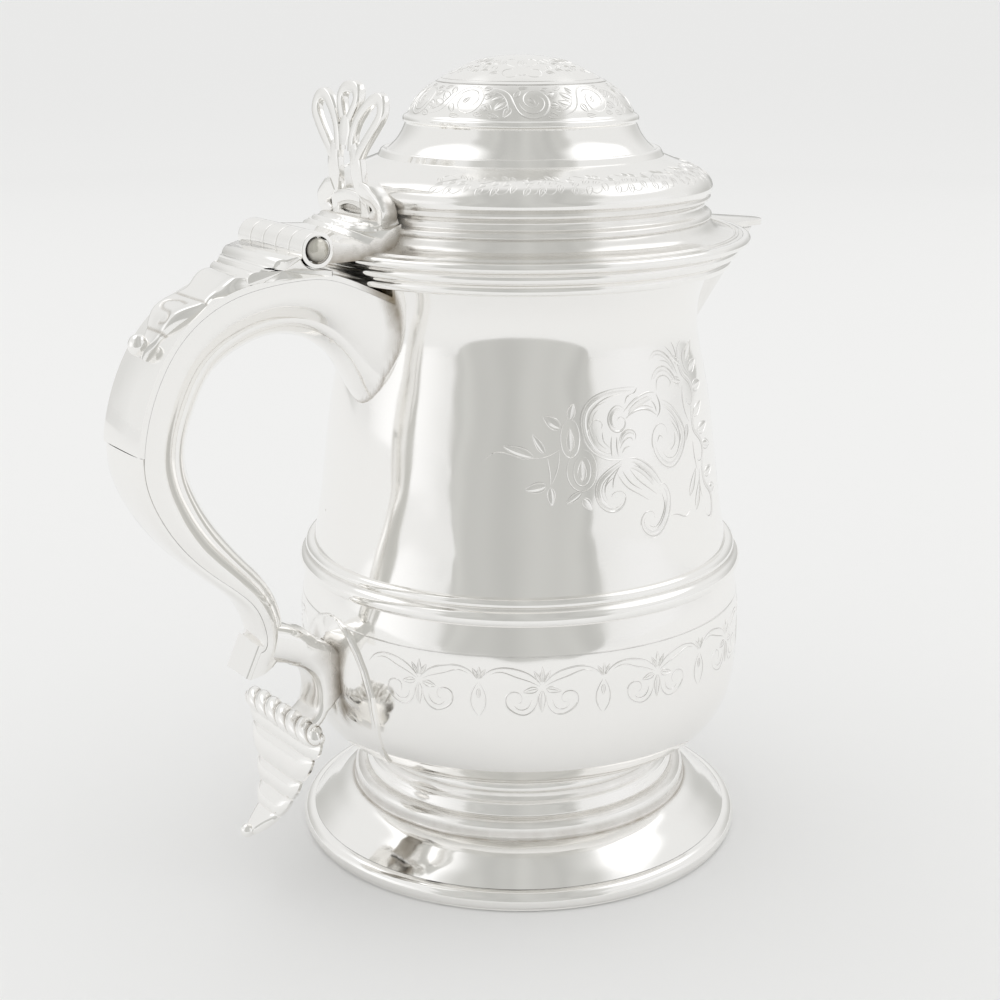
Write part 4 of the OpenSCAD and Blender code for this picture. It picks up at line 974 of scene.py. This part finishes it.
# %% Fan: concentric steps that climb to the thumbpiece
FAN_X, FAN_WIDE, FAN_LOW = -47.6, 1.62, 160.2
fan_r = [0, 2.6, 2.9, 3.4, 4.7, 5.0, 5.5, 6.6, 6.9, 7.4, 8.2, 8.6]
fan_z = [163.6, 163.5, 163.2, 162.7, 162.7, 162.4, 161.9, 161.9, 161.7, 161.3, 161.3, 160.7]
fan_at = np.linspace(0, 11, 67)
fan_line = np.stack([np.interp(fan_at, np.arange(12), line) for line in (fan_r, fan_z)], -1)
turn = np.radians(np.linspace(90, 270, 73))[None, :]
frill = 1 + 0.03 * np.cos(turn * 10)
fan_x = FAN_X + fan_line[:, :1] * np.cos(turn)
fan_y = fan_line[:, :1] * np.sin(turn) * FAN_WIDE * frill
fan_parts = shell(spread(fan_x, fan_y, fan_line[:, 1:]), spread(fan_x, fan_y, FAN_LOW), rows=(-1,))
piece("fan_stepped", fan_parts, polished, "lid", ["thumbpiece_fan"], sharp=45)

# %% [markdown]
# ## The lower handle
# The handle's end rests on a C-scroll that springs from a shield-shaped patch on the belly. Below it a
# gadrooned roll carries a ribbed leaf that hangs outwards to a ball tip. The patch follows the body: its
# grid is laid on the body's own radius, with the rim, the lobes and a middle ridge as heights over it.
# These hollows are where polish does not reach, so they carry the darkest tarnish.

# %% Patch
patch_z = np.linspace(31.4, 66.5, 110)
patch_half = np.interp(patch_z, [31.4, 37, 43.4, 50, 56, 60, 63, 65.2, 66.2, 66.5],
                       [14.8, 16.3, 17.0, 16.3, 14.2, 11.8, 9.2, 5.9, 2.9, 0.02])[:, None]
top_room = np.interp(patch_z, [60, 66.5], [9, 0])[:, None]
z = patch_z[:, None]
u = np.sin(np.linspace(-np.pi / 2, np.pi / 2, 161))[None, :]
y = u * patch_half
out_y = np.abs(y)
edge = np.minimum((1 - np.abs(u)) * patch_half, top_room + 2.2 * (1 - np.abs(u)))
rim = bell(edge - 0.45, 0.07**0.5) + 0.6 * bell(edge - 1.35, 0.07**0.5)
spine = bell(y, 1.3) * clamp((62 - z) / 6) * clamp((z - 37) / 6)
lobe_y, lobe_z = 8.4 - 0.12 * (z - 50), 51.5
lobe_end = bell(np.maximum(z - lobe_z, 0), 7.5) * np.exp(-((np.maximum(lobe_z - z, 0) / 5.0) ** 4))
lobe = bell(out_y - lobe_y, 3.0) * lobe_end
frond = bell(out_y - 7.6, 2.4) * bell(z - 43.0, 2.4)
boss = bell(y, 5.5) * bell(z - 62, 3.2)
height = 0.4 + 0.28 * rim + 1.9 * spine + 1.6 * lobe + 0.9 * frond + 1.1 * boss
grooves = 0.12 * np.sin((z + out_y * 0.8) * 3.2) * frond
height = np.where(edge < 0.02, 0.05, height) + grooves


def on_belly(y, z, out):
    """A point on the body's handle side at a sideways distance y and a height z, moved out from its surface."""
    r = body_r(z)
    a = np.pi - y / r
    slope = np.gradient(body_line[:, 0], body_line[:, 1])
    lean = -np.interp(z, body_line[:, 1], slope)
    flatness = 1 / np.sqrt(1 + lean**2)
    rr = r + out * flatness
    return spread(rr * np.cos(a), rr * np.sin(a), z + out * lean * flatness)


dark = 0.62 * bell(out_y - 5.4, 2.2) * clamp((z - 39) / 4) * clamp((63 - z) / 6)
dark = dark + 0.45 * bell(out_y - 8.5, 3.0) * bell(z - 45.5, 2.0)
patch_parts = shell(on_belly(y, z, height), on_belly(y, z, -0.3))
piece("patch_shield", patch_parts, polished, "jug", ["lower_patch"], sharp=40, tarnish_and_shade=dark)

# %% Scroll under the handle's end
SCROLL_ROWS = 90
PATCH_R = 56.6
scroll = curve([(73.6, 63.9, 9.4), (70.4, 63.0, 9.2), (66.4, 61.2, 8.4), (63, 58.2, 6.8), (60.8, 53.5, 5.0),
                (60.6, 48.1, 3.8), (62.2, 43.5, 3.2), (65.8, 40.9, 2.8), (67.1, 40.5, 2.4)], SCROLL_ROWS)
step = heading(scroll[:, :2])
row = np.arange(SCROLL_ROWS)[:, None]
f = circle(40)
round_u, round_v = squarish(np.cos(f), 0.45), squarish(np.sin(f), 0.75)
# the inner side is hollowed further down, and a wrapped edge crosses the scroll near its top
hollow = np.where(np.sin(f) > 0, 1 - 0.45 * (1 - round_u**2) * clamp((row - 24) / 20), 1)
wrap = 1 + 0.11 * ledge(15 + 9 * np.abs(round_u) - row, 0.6)
bulge = -round_v * hollow * wrap * scroll[:, 2:] / 2
far, z = scroll[:, :1] - step[:, 1:] * bulge, scroll[:, 1:2] + step[:, :1] * bulge
# where it joins the patch, its inner side runs back into it and flares
joins = np.interp(row, [26, 36, 60, 70], [0, 1, 1, 0]) * (far < scroll[:, :1])
far = far * (1 - joins) + np.minimum(far, PATCH_R) * joins
flare = 1 + 0.35 * joins * clamp(-round_v * 1.2) ** 3
scroll_half = np.interp(row, [0, 20, 45, 75, 89], [5.1, 5.4, 5.2, 5.9, 6.2])
scroll_grid = np.stack([-far, round_u * scroll_half * flare, z], -1)
dark = 0.6 * clamp((row - 38) / 18) * clamp(np.sin(f) * 1.4) + 0.12 * clamp(-np.sin(f))
piece("scroll_open", [tube(scroll_grid)], polished, "jug", ["handle_lower_scroll"],
      tarnish_and_shade=with_ends(np.maximum(dark, 0.7 * joins)))

# %% Gadrooned roll
ROLL_X, ROLL_Z, ROLL_HALF = -69.7, 43.5, 18
v = np.linspace(-1, 1, 161)[:, None]
f = circle(48)
lobes = np.abs(np.sin(np.pi * (v * 3.5 + f / np.pi))) ** 0.55
roll_r = (2.05 + 0.95 * lobes) * np.sqrt(clamp(1 - np.abs(v) ** 9))
roll_grid = spread(ROLL_X + roll_r * np.cos(f), v * ROLL_HALF, ROLL_Z + roll_r * np.sin(f))
piece("roll_gadrooned", [tube(roll_grid)], polished, "jug", ["tail_leaf_gadroon"], sharp=60,
      tarnish_and_shade=with_ends(0.8 * clamp((0.55 - lobes) / 0.45)))

# %% Tail leaf
TAIL_ROWS, TAIL_OVER, TAIL_UNDER = 120, 25, 13
tail = curve([(69.3, 42.1, 17.6), (70.6, 35.3, 14.0), (71.7, 28.7, 9.9), (73.7, 22, 6.2), (77.7, 17.4, 3.0),
              (80.0, 16.2, 1.9)], TAIL_ROWS)
outwards = left_of(heading(tail[:, :2]))
phase = np.interp(np.linspace(0, 1, TAIL_ROWS), [0, 0.16, 0.42, 0.6, 0.78, 1], [0, 1, 2, 3, 4, 5])[:, None] % 1
tail_half = tail[:, 2:] * (1 + 0.06 * np.sin(np.pi * phase) - 0.05 * (phase > 0.9))
ridge = 0.9 * np.sin(np.pi * phase) ** 0.6 + 0.7
over, under = np.linspace(1, -1, TAIL_OVER), np.linspace(-0.97, 0.97, TAIL_UNDER)
out = np.concatenate([ridge * (1 - 0.8 * np.abs(over) ** 8), np.full((TAIL_ROWS, TAIL_UNDER), -0.75)], 1)
tail_y = np.append(over, under) * tail_half
tail_grid = np.stack([-(tail[:, :1] + outwards[:, :1] * out), tail_y, tail[:, 1:2] + outwards[:, 1:] * out], -1)
tip = ball((-80.6, 0, 16.3), 1.75, (-0.8, 0, -0.3))
piece("tail_leaf_ribbed", [tube(tail_grid), tip], polished, "jug", ["tail_leaf"], sharp=40)

# %% [markdown]
# ## Engraving
# A graver cuts a narrow V and throws up a fine burr beside it, so every line shows a dark flank and a light
# one. Each stroke here is a thin ridge with its crest off the middle, tapered at both ends and laid on the
# turned surface, and one of its flanks is painted darker as shade. Scrolls are splines through a few points,
# volutes run inwards, and a leaf is two bowed strokes with a midrib. The lines are a quarter to three
# quarters of a millimetre wide. Wide leaves and the bold scrolls also have broad low strokes, which give
# them their swelling and carry less painted shade.

# %% Strokes
SHORT, LONG = 14, 44  # points along a stroke, by whether it is drawn through fewer than five
SUNK = 0.03  # how far a stroke's flanks lie under the surface
FLANKS = np.array([-0.5, 0.15, 0.5])  # places of a stroke's flank, crest and flank, in widths


def engrave(name, strokes, line, key, radius, body, high=0.11):
    """Lays plane strokes on a turned surface as one piece.

    A stroke is (points, width) with points of (sideways, key) in millimetres. Sideways over radius is the
    angle about the axis, and key finds the radius and height on the line; the ridge stands along its normal."""
    normal = unit(np.stack([np.gradient(line[:, 1]), -np.gradient(line[:, 0])], -1))
    parts, flank_shades = [], []
    for count in (SHORT, LONG):
        chosen = [s for s in strokes if (len(s[0]) < 5) == (count == SHORT)]
        full = np.array([w for _, w in chosen])
        run = np.stack([curve(points, count) for points, _ in chosen])
        taper = np.sqrt(clamp(np.sin(np.pi * np.linspace(0, 1, count))))
        taper[-1] = 0
        width = full[:, None] * taper
        flat = run[:, :, None] + left_of(heading(run))[:, :, None] * (FLANKS * width[..., None])[..., None]
        out = -SUNK + (high + SUNK) * taper[None, :, None] * np.array([0, 1, 0])
        a, k = flat[..., 0] / radius, flat[..., 1]
        r = np.interp(k, key, line[:, 0]) + out * np.interp(k, key, normal[:, 0])
        z = np.interp(k, key, line[:, 1]) + out * np.interp(k, key, normal[:, 1])
        quads = grid_faces(count, 3, wrap_cols=True)[None] + np.arange(len(chosen))[:, None, None] * count * 3
        parts.append((np.stack([r * np.cos(a), r * np.sin(a), z], -1).reshape(-1, 3), quads.reshape(-1, 4)))
        # one flank of each stroke is painted darker as shade, less in broad strokes
        dirt_and_shade = 0.75 * np.minimum(1, 0.5 / full)
        flank_shades.append(np.repeat(dirt_and_shade, count * 3) * np.tile([1.0, 0.0, 0.0], len(chosen) * count))
    piece(name, parts, engraved, body, sharp=18, tarnish_and_shade=np.concatenate(flank_shades))


def engraved_lines(name, outlines, body):
    """Lines cut all round, each a ridge turned from three points of (radius, height)."""
    parts = [grid_part(lathe(outline), wrap_rows=True, wrap_cols=True) for outline in outlines]
    # one flank of each line is painted darker as shade, and the crest a little
    piece(name, parts, engraved, body, sharp=18, tarnish_and_shade=np.tile(np.repeat([0.9, 0.15, 0.0], AROUND), len(outlines)))


# %% Leaves, ovals and lines beside a scroll
LEAF_LINE = 0.36


def leaf(base, tip, half):
    """Strokes from base to tip: two that bow out to half, a midrib, and in wide leaves a broad low swelling."""
    base, tip = np.array(base, float), np.array(tip, float)
    along = tip - base
    bow = half * left_of(unit(along))
    strokes = [([base, base + 0.28 * along + e * 0.9 * bow, base + 0.55 * along + e * 0.85 * bow, tip], LEAF_LINE)
               for e in (1, -1)]
    strokes.append(([base, base + 0.4 * along + 0.12 * bow, base + 0.8 * along], LEAF_LINE * 0.7))
    if half > 0.75:
        strokes.append(([base + 0.05 * along, base + 0.45 * along, base + 0.95 * along], 1.5 * half))
    return strokes


def leaves(*table):
    """The strokes of several leaves, each given as (base, tip, half)."""
    return [stroke for one in table for stroke in leaf(*one)]


def oval(centre, half_wide, half_high):
    """One stroke round an oval, from its top and back to it."""
    a = np.radians(np.linspace(90, 450, 13))
    return [(centre + spread(half_wide * np.cos(a), half_high * np.sin(a)), 0.4)]


def echo(points, distance, start, stop, width):
    """A stroke beside a scroll at a distance to its left, from one share of its length to another."""
    line = offset(curve(points, 60), distance)
    return [(line[int(60 * start) : int(60 * stop) : 4], width)]


def placed(strokes, sideways, up=0.0, flip=1):
    """Strokes mirrored sideways where flip is -1, then moved."""
    return [(np.asarray(points, float) * [flip, 1] + [sideways, up], width) for points, width in strokes]


print("strokes ready")

# %% Scrolls, flowers and plumes on the sides of the body
# sideways 0 is the middle of the jug's side and height 0 is 110 mm over the table
bold = [
    [(0.8, 14.2), (-4, 14.4), (-8.5, 14), (-12.4, 12.6), (-14.6, 10.2), (-15.2, 7), (-14.4, 3.4), (-12, 0.3),
     (-7.6, -1.6), (-3.6, -1.6)],
    [(-4.2, 8.8), (-1.2, 11), (2, 12.2), (4.4, 12.5), (6.5, 12)],
    [(-3.8, 7.2), (-2, 8.3), (0, 8.9), (3.5, 8.6), (6.4, 6.7)],
    [(-3.4, 9.4), (-5.4, 10.6), (-7.7, 9.3), (-8.2, 6.9), (-6.7, 4.9), (-4.4, 5.2), (-3.7, 6.9), (-5, 8), (-6.1, 7)],
    [(7.2, 10.6), (10.4, 9.2), (14.6, 5), (16.2, 0.4), (13.8, -3.8), (9.8, -6), (6.2, -4.4), (3.9, -0.3), (4.2, 2.9),
     (6.9, 4.9), (9, 3.2), (8.6, 1.4)],
    [(-4.8, -1.6), (-8.8, -3.6), (-11.6, -6.2), (-12.1, -9.4), (-10.6, -12.3), (-8, -13.5), (-5.3, -12.2),
     (-4.7, -10.3), (-6.6, -8.9), (-8.3, -9.8), (-7.4, -11)],
    [(-3.6, -1.6), (-1.6, -1.9), (0.4, -2.8), (4, -6), (6.2, -9.4)],
    [(4.6, -9.9), (6.2, -9.1), (8, -10.8), (8.4, -14.6), (6.6, -18.6), (2.9, -21), (0, -19.6), (-0.8, -16.7),
     (1.2, -14.8), (3, -15.6), (2.8, -17.1)],
    [(20.5, 22.5), (18, 21), (17.2, 17.5), (18.6, 14), (21, 12.2), (22, 9.4), (20.6, 7), (18.8, 7.6), (19, 9.4)],
    [(21.4, 9), (20, 4.6), (20.4, 0.6), (22.8, -1.6), (24.4, -4.4), (23.2, -7), (21.2, -6.6), (21.2, -4.8)],
    [(24, -5), (23.2, -9.4), (24.4, -13.6), (27, -16), (27.6, -19.6), (25.4, -21.6), (23.4, -20.2), (24.2, -18.4)],
]
fine = [
    [(-2.2, 12.9), (-6.5, 12.9), (-10.4, 11.6), (-13, 8.8), (-13.4, 5.6), (-12.2, 2.4), (-9.2, 0.3), (-6.4, -0.4)],
    [(0.8, 14.2), (-0.4, 12.9), (-2.6, 12.2), (-3.4, 10.6)],
    [(-13.4, 3.6), (-13.2, 6.4), (-11.4, 7.9), (-9.9, 7), (-10.3, 5.6)],
    [(-9.9, 5.2), (-9.8, 3.4), (-8, 1.2)], [(-11.6, 4.6), (-11, 3), (-9, 1)],
    [(-7.6, 4), (-7.9, 1.5), (-7.7, -1.2)], [(-6.2, 3.8), (-6.4, 1.4), (-6, -1.2)],
    [(-6, 1.5), (-4.8, 4.2), (-2.2, 4.8), (-1, 3.6), (-1.4, 2.2)], [(-5.6, 0.6), (-4.2, 2.6), (-2.4, 3), (-1.8, 1.8)],
    [(-5.2, -0.4), (-3.8, 1), (-2.6, 1)],
    [(6.5, 12), (7.4, 9.6), (7, 7.4), (5.8, 6.4)], [(4.6, 10.6), (5.8, 9.2), (6, 7.6)],
    [(8.6, 8.6), (11.6, 6.4), (13.6, 2.6), (13.2, -1.2), (10.8, -3.6), (8.2, -3.2), (6.6, -1.2)],
    [(5.4, 0.6), (6.6, 2.2), (7.4, 1.2)], [(9.6, -2), (11.4, -0.6), (11.8, 2.2)],
    [(5.5, 19.4), (7.4, 21.2), (11.5, 20.6), (14.6, 18), (16.4, 14.2)],
    [(5.4, 14.6), (7.4, 17), (11.8, 17.2), (14.6, 14.6), (16.6, 11)],
    [(15, 22.8), (16.6, 20.2), (17, 17)], [(12, 22), (15, 19.6), (16.4, 16.8)], [(9, 19), (12.2, 18.4), (14.8, 15.6)],
    [(7, 12.2), (7.7, 14.8), (11.2, 15.2), (12.6, 13.4), (11.2, 12.4)],
    [(-5.2, -2.9), (-8.4, -5.2), (-9.9, -8.2), (-9.2, -11)], [(-6, -3.4), (-7.6, -6), (-7.9, -8.4)],
    [(-6.8, -4.4), (-4.6, -7.8), (-1.2, -10.2), (2, -12.4)], [(-3.4, -4), (-1, -7), (2.2, -9.6), (4.6, -11.6)],
    [(-2.2, -2.8), (0.6, -4.8), (3.6, -7.8)], [(-5.4, -4), (-3.4, -7), (0.2, -9.6)],
    [(5.6, -11), (6.4, -13.6), (5.2, -17), (2.8, -18.8), (1.2, -17.9)],
    [(8, -17), (11.2, -17.6), (13.8, -18.6), (16.4, -17)],
    [(22, 20.6), (19.8, 18.4), (20.6, 15.4), (23, 13.6)], [(17.8, 12.4), (16.8, 9), (17.4, 5.4), (19, 2.6)],
    [(19.4, -1.4), (19.8, -5.8), (20.8, -9.4)], [(22, -8.6), (21.4, -12.6), (22.4, -16.4)],
    [(-37.6, -0.8), (-35, 1.2), (-30.5, 0.6), (-26, 0), (-23.5, 0.3), (-20, 2)],
    [(-23.2, 0.2), (-22.7, -3.4), (-22.5, -6.6)], [(-20.4, 1.6), (-20.8, -2), (-22.5, -6.4)],
]
spray_leaves = leaves(
    ((-26, 0.2), (-33.6, 3), 1.2), ((-23.6, 0.8), (-26.6, 5.6), 0.8), ((-19.8, 6.5), (-24.2, 9.6), 1.3),
    ((-17.8, 8.2), (-16.6, 12.2), 1), ((-23.2, -6.2), (-28.5, -7.2), 1.2), ((-22.6, -6.5), (-22.3, -11.2), 0.9),
    ((-15.3, -8), (-19.5, -10.8), 0.8), ((-15.3, -9.5), (-13, -12.8), 1), ((21, 17), (27, 21.5), 1.3),
    ((22, 14.5), (28.5, 16.5), 1.4), ((22.5, 10.5), (29.5, 10.8), 1.4), ((21, 4), (27.5, 6.6), 1.3),
    ((22.5, 0), (30, 0.8), 1.4), ((24.6, -3.4), (31, -5), 1.3), ((24.4, -11), (31, -10.4), 1.3),
    ((26.5, -15), (32.5, -16), 1.2), ((18.5, -18.5), (21.6, -11), 1), ((16, -14.5), (20, -8), 0.9),
    ((17.6, 3), (15.8, -1.4), 0.8), ((18.6, 16.5), (14.2, 19.6), 0.9), ((17.4, 13), (12.6, 14.2), 0.8),
    ((-17.8, 0.8), (-17.8, 6.8), 1), ((-15.2, -6), (-15.2, -0.6), 1.1))
# strokes beside a scroll: its points, how far to its left, from which to which share of its length, and the width
beside = [(bold[number], *rest, 0.3) for number, *rest in (
    (0, 0.7, 0.12, 0.9), (0, 2.2, 0.25, 0.75), (0, 3.0, 0.35, 0.65), (4, -0.8, 0.06, 0.8), (4, -2.2, 0.1, 0.45),
    (4, -3.0, 0.15, 0.4), (5, 0.7, 0.08, 0.75), (5, 1.5, 0.12, 0.55), (5, 2.3, 0.16, 0.45), (7, -0.8, 0.1, 0.85),
    (7, -1.6, 0.2, 0.6), (3, 0.8, 0.1, 0.6), (6, -0.8, 0.05, 0.95), (6, -1.7, 0.1, 0.9), (1, -0.8, 0.1, 0.9),
    (2, 0.8, 0.15, 0.85))]
# broad low bands give the scrolls their swelling
swelling = [(bold[number], *rest) for number, *rest in (
    (0, 0.8, 0.04, 0.95, 1.5), (1, -1.5, 0.05, 0.95, 1.7), (3, 0.8, 0.05, 0.6, 1.3), (4, -0.9, 0.03, 0.8, 1.6),
    (5, 0.8, 0.03, 0.75, 1.5), (6, -0.9, 0.05, 0.95, 1.4), (6, -2.3, 0.05, 0.9, 1.2), (7, -0.9, 0.06, 0.8, 1.5),
    (8, 0.8, 0.05, 0.8, 1.3), (9, 0.8, 0.05, 0.8, 1.3), (10, 0.8, 0.05, 0.8, 1.3))]
swelling += [(fine[15], -0.7, 0.05, 0.95, 1.2), (fine[16], -0.7, 0.05, 0.95, 1.2), (fine[7], -0.6, 0.05, 0.9, 1.0)]
hatching = [([(-12.9, -3.2 - 0.7 * i), (-12.3, -3.3 - 0.75 * i), (-11.7, -3.2 - 0.8 * i)], 0.22)
            for i in range(-3, 5)]

spray = [(s, 0.62) for s in bold] + [(s, 0.42) for s in fine] + spray_leaves
spray += oval((-17.8, 4.2), 2.3, 4.4) + oval((-15.2, -3.2), 3.6, 4.8) + oval((-15.2, -3.4), 2.1, 3.4)
spray += [stroke for one in beside for stroke in echo(*one)] + hatching
spray += [stroke for one in swelling for stroke in echo(*one)]
SIDE_R, SIDE_Z = 47.5, 110
QUARTER = SIDE_R * np.pi / 2
sides_cut = placed(spray, -QUARTER, SIDE_Z) + placed(spray, QUARTER, SIDE_Z, -1)
engrave("engraved_side_scrolls", sides_cut, body_line, body_line[:, 1], SIDE_R, "jug", 0.14)

# %% Frieze of bows and drops below the girdle
FRIEZE_R, FRIEZE_Z = 56.0, 57.9
BOW = FRIEZE_R * np.pi / 6
END = BOW / 2
half_bow = [
    ([(0, 0), (2.6, 2.7), (6, 4.1), (9.6, 4.4), (12.6, 3.3), (END - 0.2, 1.1)], 0.56),
    ([(0.4, -0.1), (3.2, 1.3), (6.4, 2.4), (10, 3.4), (12.4, 2.6)], 0.4),
    ([(1, -1.6), (1.6, -5.2), (3.9, -7.1), (6.6, -6.4), (8.4, -4.2), (8, -2.1), (6.3, -1.4), (4.7, -2.4), (5, -4),
      (6.2, -4)], 0.52),
    ([(2.4, -3), (3.4, -5.4), (5.2, -5.8), (6.6, -4.6)], 0.36),
] + leaves(((0.8, -0.6), (4.6, -1.4), 0.75), ((0.3, 0.9), (2, 3.9), 0.45))
half_drop = [([(END, 1), (END - 1.7, -2.8), (END - 1.5, -5.4), (END, -7.9)], 0.48)]
half_drop += leaf((END - 0.2, 1.6), (END - 1.6, 4.2), 0.4)
bow_middle = leaves(((0, -0.8), (0, -6.9), 0.8), ((0, 0.8), (0, 5), 0.5))
drop_middle = leaves(((END, 1.4), (END, 4.7), 0.45), ((END, -0.6), (END, -3.4), 0.5))
# eleven bows leave the handle's patch free, and there is a drop between each two
frieze = []
for number in range(-5, 6):
    for flip in (1, -1):
        drops = half_drop if abs(number + flip / 2) < 5.4 else []
        frieze += placed(half_bow + drops, number * BOW, FRIEZE_Z, flip)
    frieze += placed(bow_middle + (drop_middle if number < 5 else []), number * BOW, FRIEZE_Z)
engrave("engraved_frieze", frieze, body_line, body_line[:, 1], FRIEZE_R, "jug")
girth = np.array([(-0.03, 64.72), (0.09, 64.95), (-0.03, 65.25)])
girth[:, 0] += body_r(girth[:, 1])
engraved_lines("engraved_girth_line", [girth], "jug")

# %% Band of the dome
engraved_lines("engraved_dome_lines", [[(20.5, 190.75), (20.35, 191.1), (20.0, 191.1)],
                                       [(19.2, 191.45), (19.0, 191.72), (18.6, 191.75)]], "lid")
vine = [
    ([(-1.5, 0.9), (2, 1.2), (4.8, 2.6), (6.2, 5.4), (8.2, 8.8), (11, 9.5), (13.9, 7.6), (14.3, 4.6), (12.4, 2),
      (9.6, 2.1), (8.4, 4.2), (9.2, 6.4), (11, 6.8), (12, 5.4), (11, 4.4)], 0.7),
    ([(7.4, 5.4), (8.8, 7.7), (11, 8.3), (13, 6.8), (13.1, 4.6), (11.6, 3.1)], 0.45),
    ([(0.5, 2), (3.4, 3.2), (4.8, 5.6), (5.4, 8)], 0.45),
] + leaves(
    ((4.2, 3.4), (0.8, 5), 0.9), ((4.9, 5), (1.9, 7.6), 1), ((5.6, 6.8), (4.2, 9.4), 0.8),
    ((14.2, 3.4), (16.4, 2.6), 0.8), ((14.4, 6), (16.6, 6.6), 0.9), ((7, 1), (10, 0.7), 0.5),
    ((0.6, 8.6), (3.4, 9.4), 0.6), ((-0.4, 5.8), (1.6, 7.8), 0.7), ((9.6, 4.2), (11.2, 6), 0.5),
    ((1.6, 2.4), (-0.6, 3.4), 0.6), ((12.8, 1.6), (15.2, 1), 0.5), ((6.4, 4), (7.8, 1.6), 0.7),
    ((13.6, 8.6), (16, 9.2), 0.7))
turned_vine = [(np.asarray(points, float) * [1, -1] + [0, 10.0], width) for points, width in vine]
BAND_R = 24.5
REPEAT = BAND_R * np.pi / 5
dome_cut = sum([placed(vine if i % 2 else turned_vine, i * REPEAT) for i in range(10)], [])
engrave("engraved_dome_band", dome_cut, dome_side, length_along(dome_side), BAND_R, "lid", 0.1)

# %% Top of the dome
crest_half = [
    ([(0.9, 4.6), (1.4, 3.4), (2.9, 3.2), (3.9, 4.4), (3.6, 6.2), (2.2, 6.6), (1.8, 5.6)], 0.36),
    ([(3.8, 4.8), (6, 6.4), (8.4, 6.8), (10.2, 6)], 0.3),
    ([(0, 3.9), (0.5, 4), (0.9, 4.3)], 0.3),
    ([(0.3, 7.4), (2.2, 8.2), (4.4, 9.8), (5, 12), (3.4, 13.2), (2, 12), (2.8, 10.8)], 0.4),
    ([(4.6, 10), (7, 9.4), (9.6, 10.4), (10.6, 12.6)], 0.36),
] + leaves(
    ((5, 5.6), (6.6, 4.2), 0.6), ((6.2, 6.4), (6.8, 8.4), 0.7), ((7.6, 6.8), (9.2, 5.2), 0.6),
    ((8.8, 6.8), (9.6, 8.6), 0.6), ((10, 6.2), (11.2, 4.6), 0.5), ((5.4, 9.6), (6.4, 12.4), 1),
    ((7.4, 9.6), (9, 13.4), 1), ((0.2, 8.4), (0.6, 12.6), 0.9), ((8.6, 10), (10.4, 8.4), 0.7))
CREST_R = 13.5
crest_at = CREST_R * np.radians(-124.5 + 90 * np.arange(4))
top_cut = sum([placed(crest_half, at, 0, e) for at in crest_at for e in (1, -1)], [])
engrave("engraved_dome_top", top_cut, dome_top, length_along(dome_top), CREST_R, "lid", 0.07)

# %% Band of the shoulder
sprig = [
    ([(0, 8.2), (2.4, 9.8), (5, 10.2), (7.6, 8.8), (10.1, 8.2)], 0.36),
    ([(5, 10.2), (7.2, 11.6), (8.8, 11), (8.6, 9.8), (7.4, 9.9)], 0.32),
    ([(2.6, 7), (3.2, 5.2), (4.6, 4.6), (5.4, 5.8), (4.4, 6.6)], 0.36),
    ([(6.6, 6.6), (7.4, 4.8), (8.6, 4.6), (8.8, 5.6)], 0.32),
] + leaves(
    ((1.6, 9.4), (2.6, 12), 0.7), ((3.2, 10.1), (4.6, 12.4), 0.6), ((2.4, 9.4), (4.2, 7.2), 0.7),
    ((4.8, 9.8), (6.6, 7.4), 0.7), ((7.6, 8.6), (9.2, 6.6), 0.6), ((8.4, 8.6), (10, 10.6), 0.6),
    ((1.4, 8.2), (2.2, 4.6), 0.7), ((5.2, 7.2), (6.4, 3.8), 0.7), ((8.6, 6.8), (9.6, 4), 0.7))
SPRIG_R = 42.0
sprig_at = SPRIG_R * np.radians(1 + 13.8 * np.arange(11))
shoulder_cut = sum([placed(sprig, e * at, 0, e) for at in sprig_at for e in (1, -1)], [])
engrave("engraved_shoulder_band", shoulder_cut, lid_shoulder, length_along(lid_shoulder), SPRIG_R, "lid", 0.07)
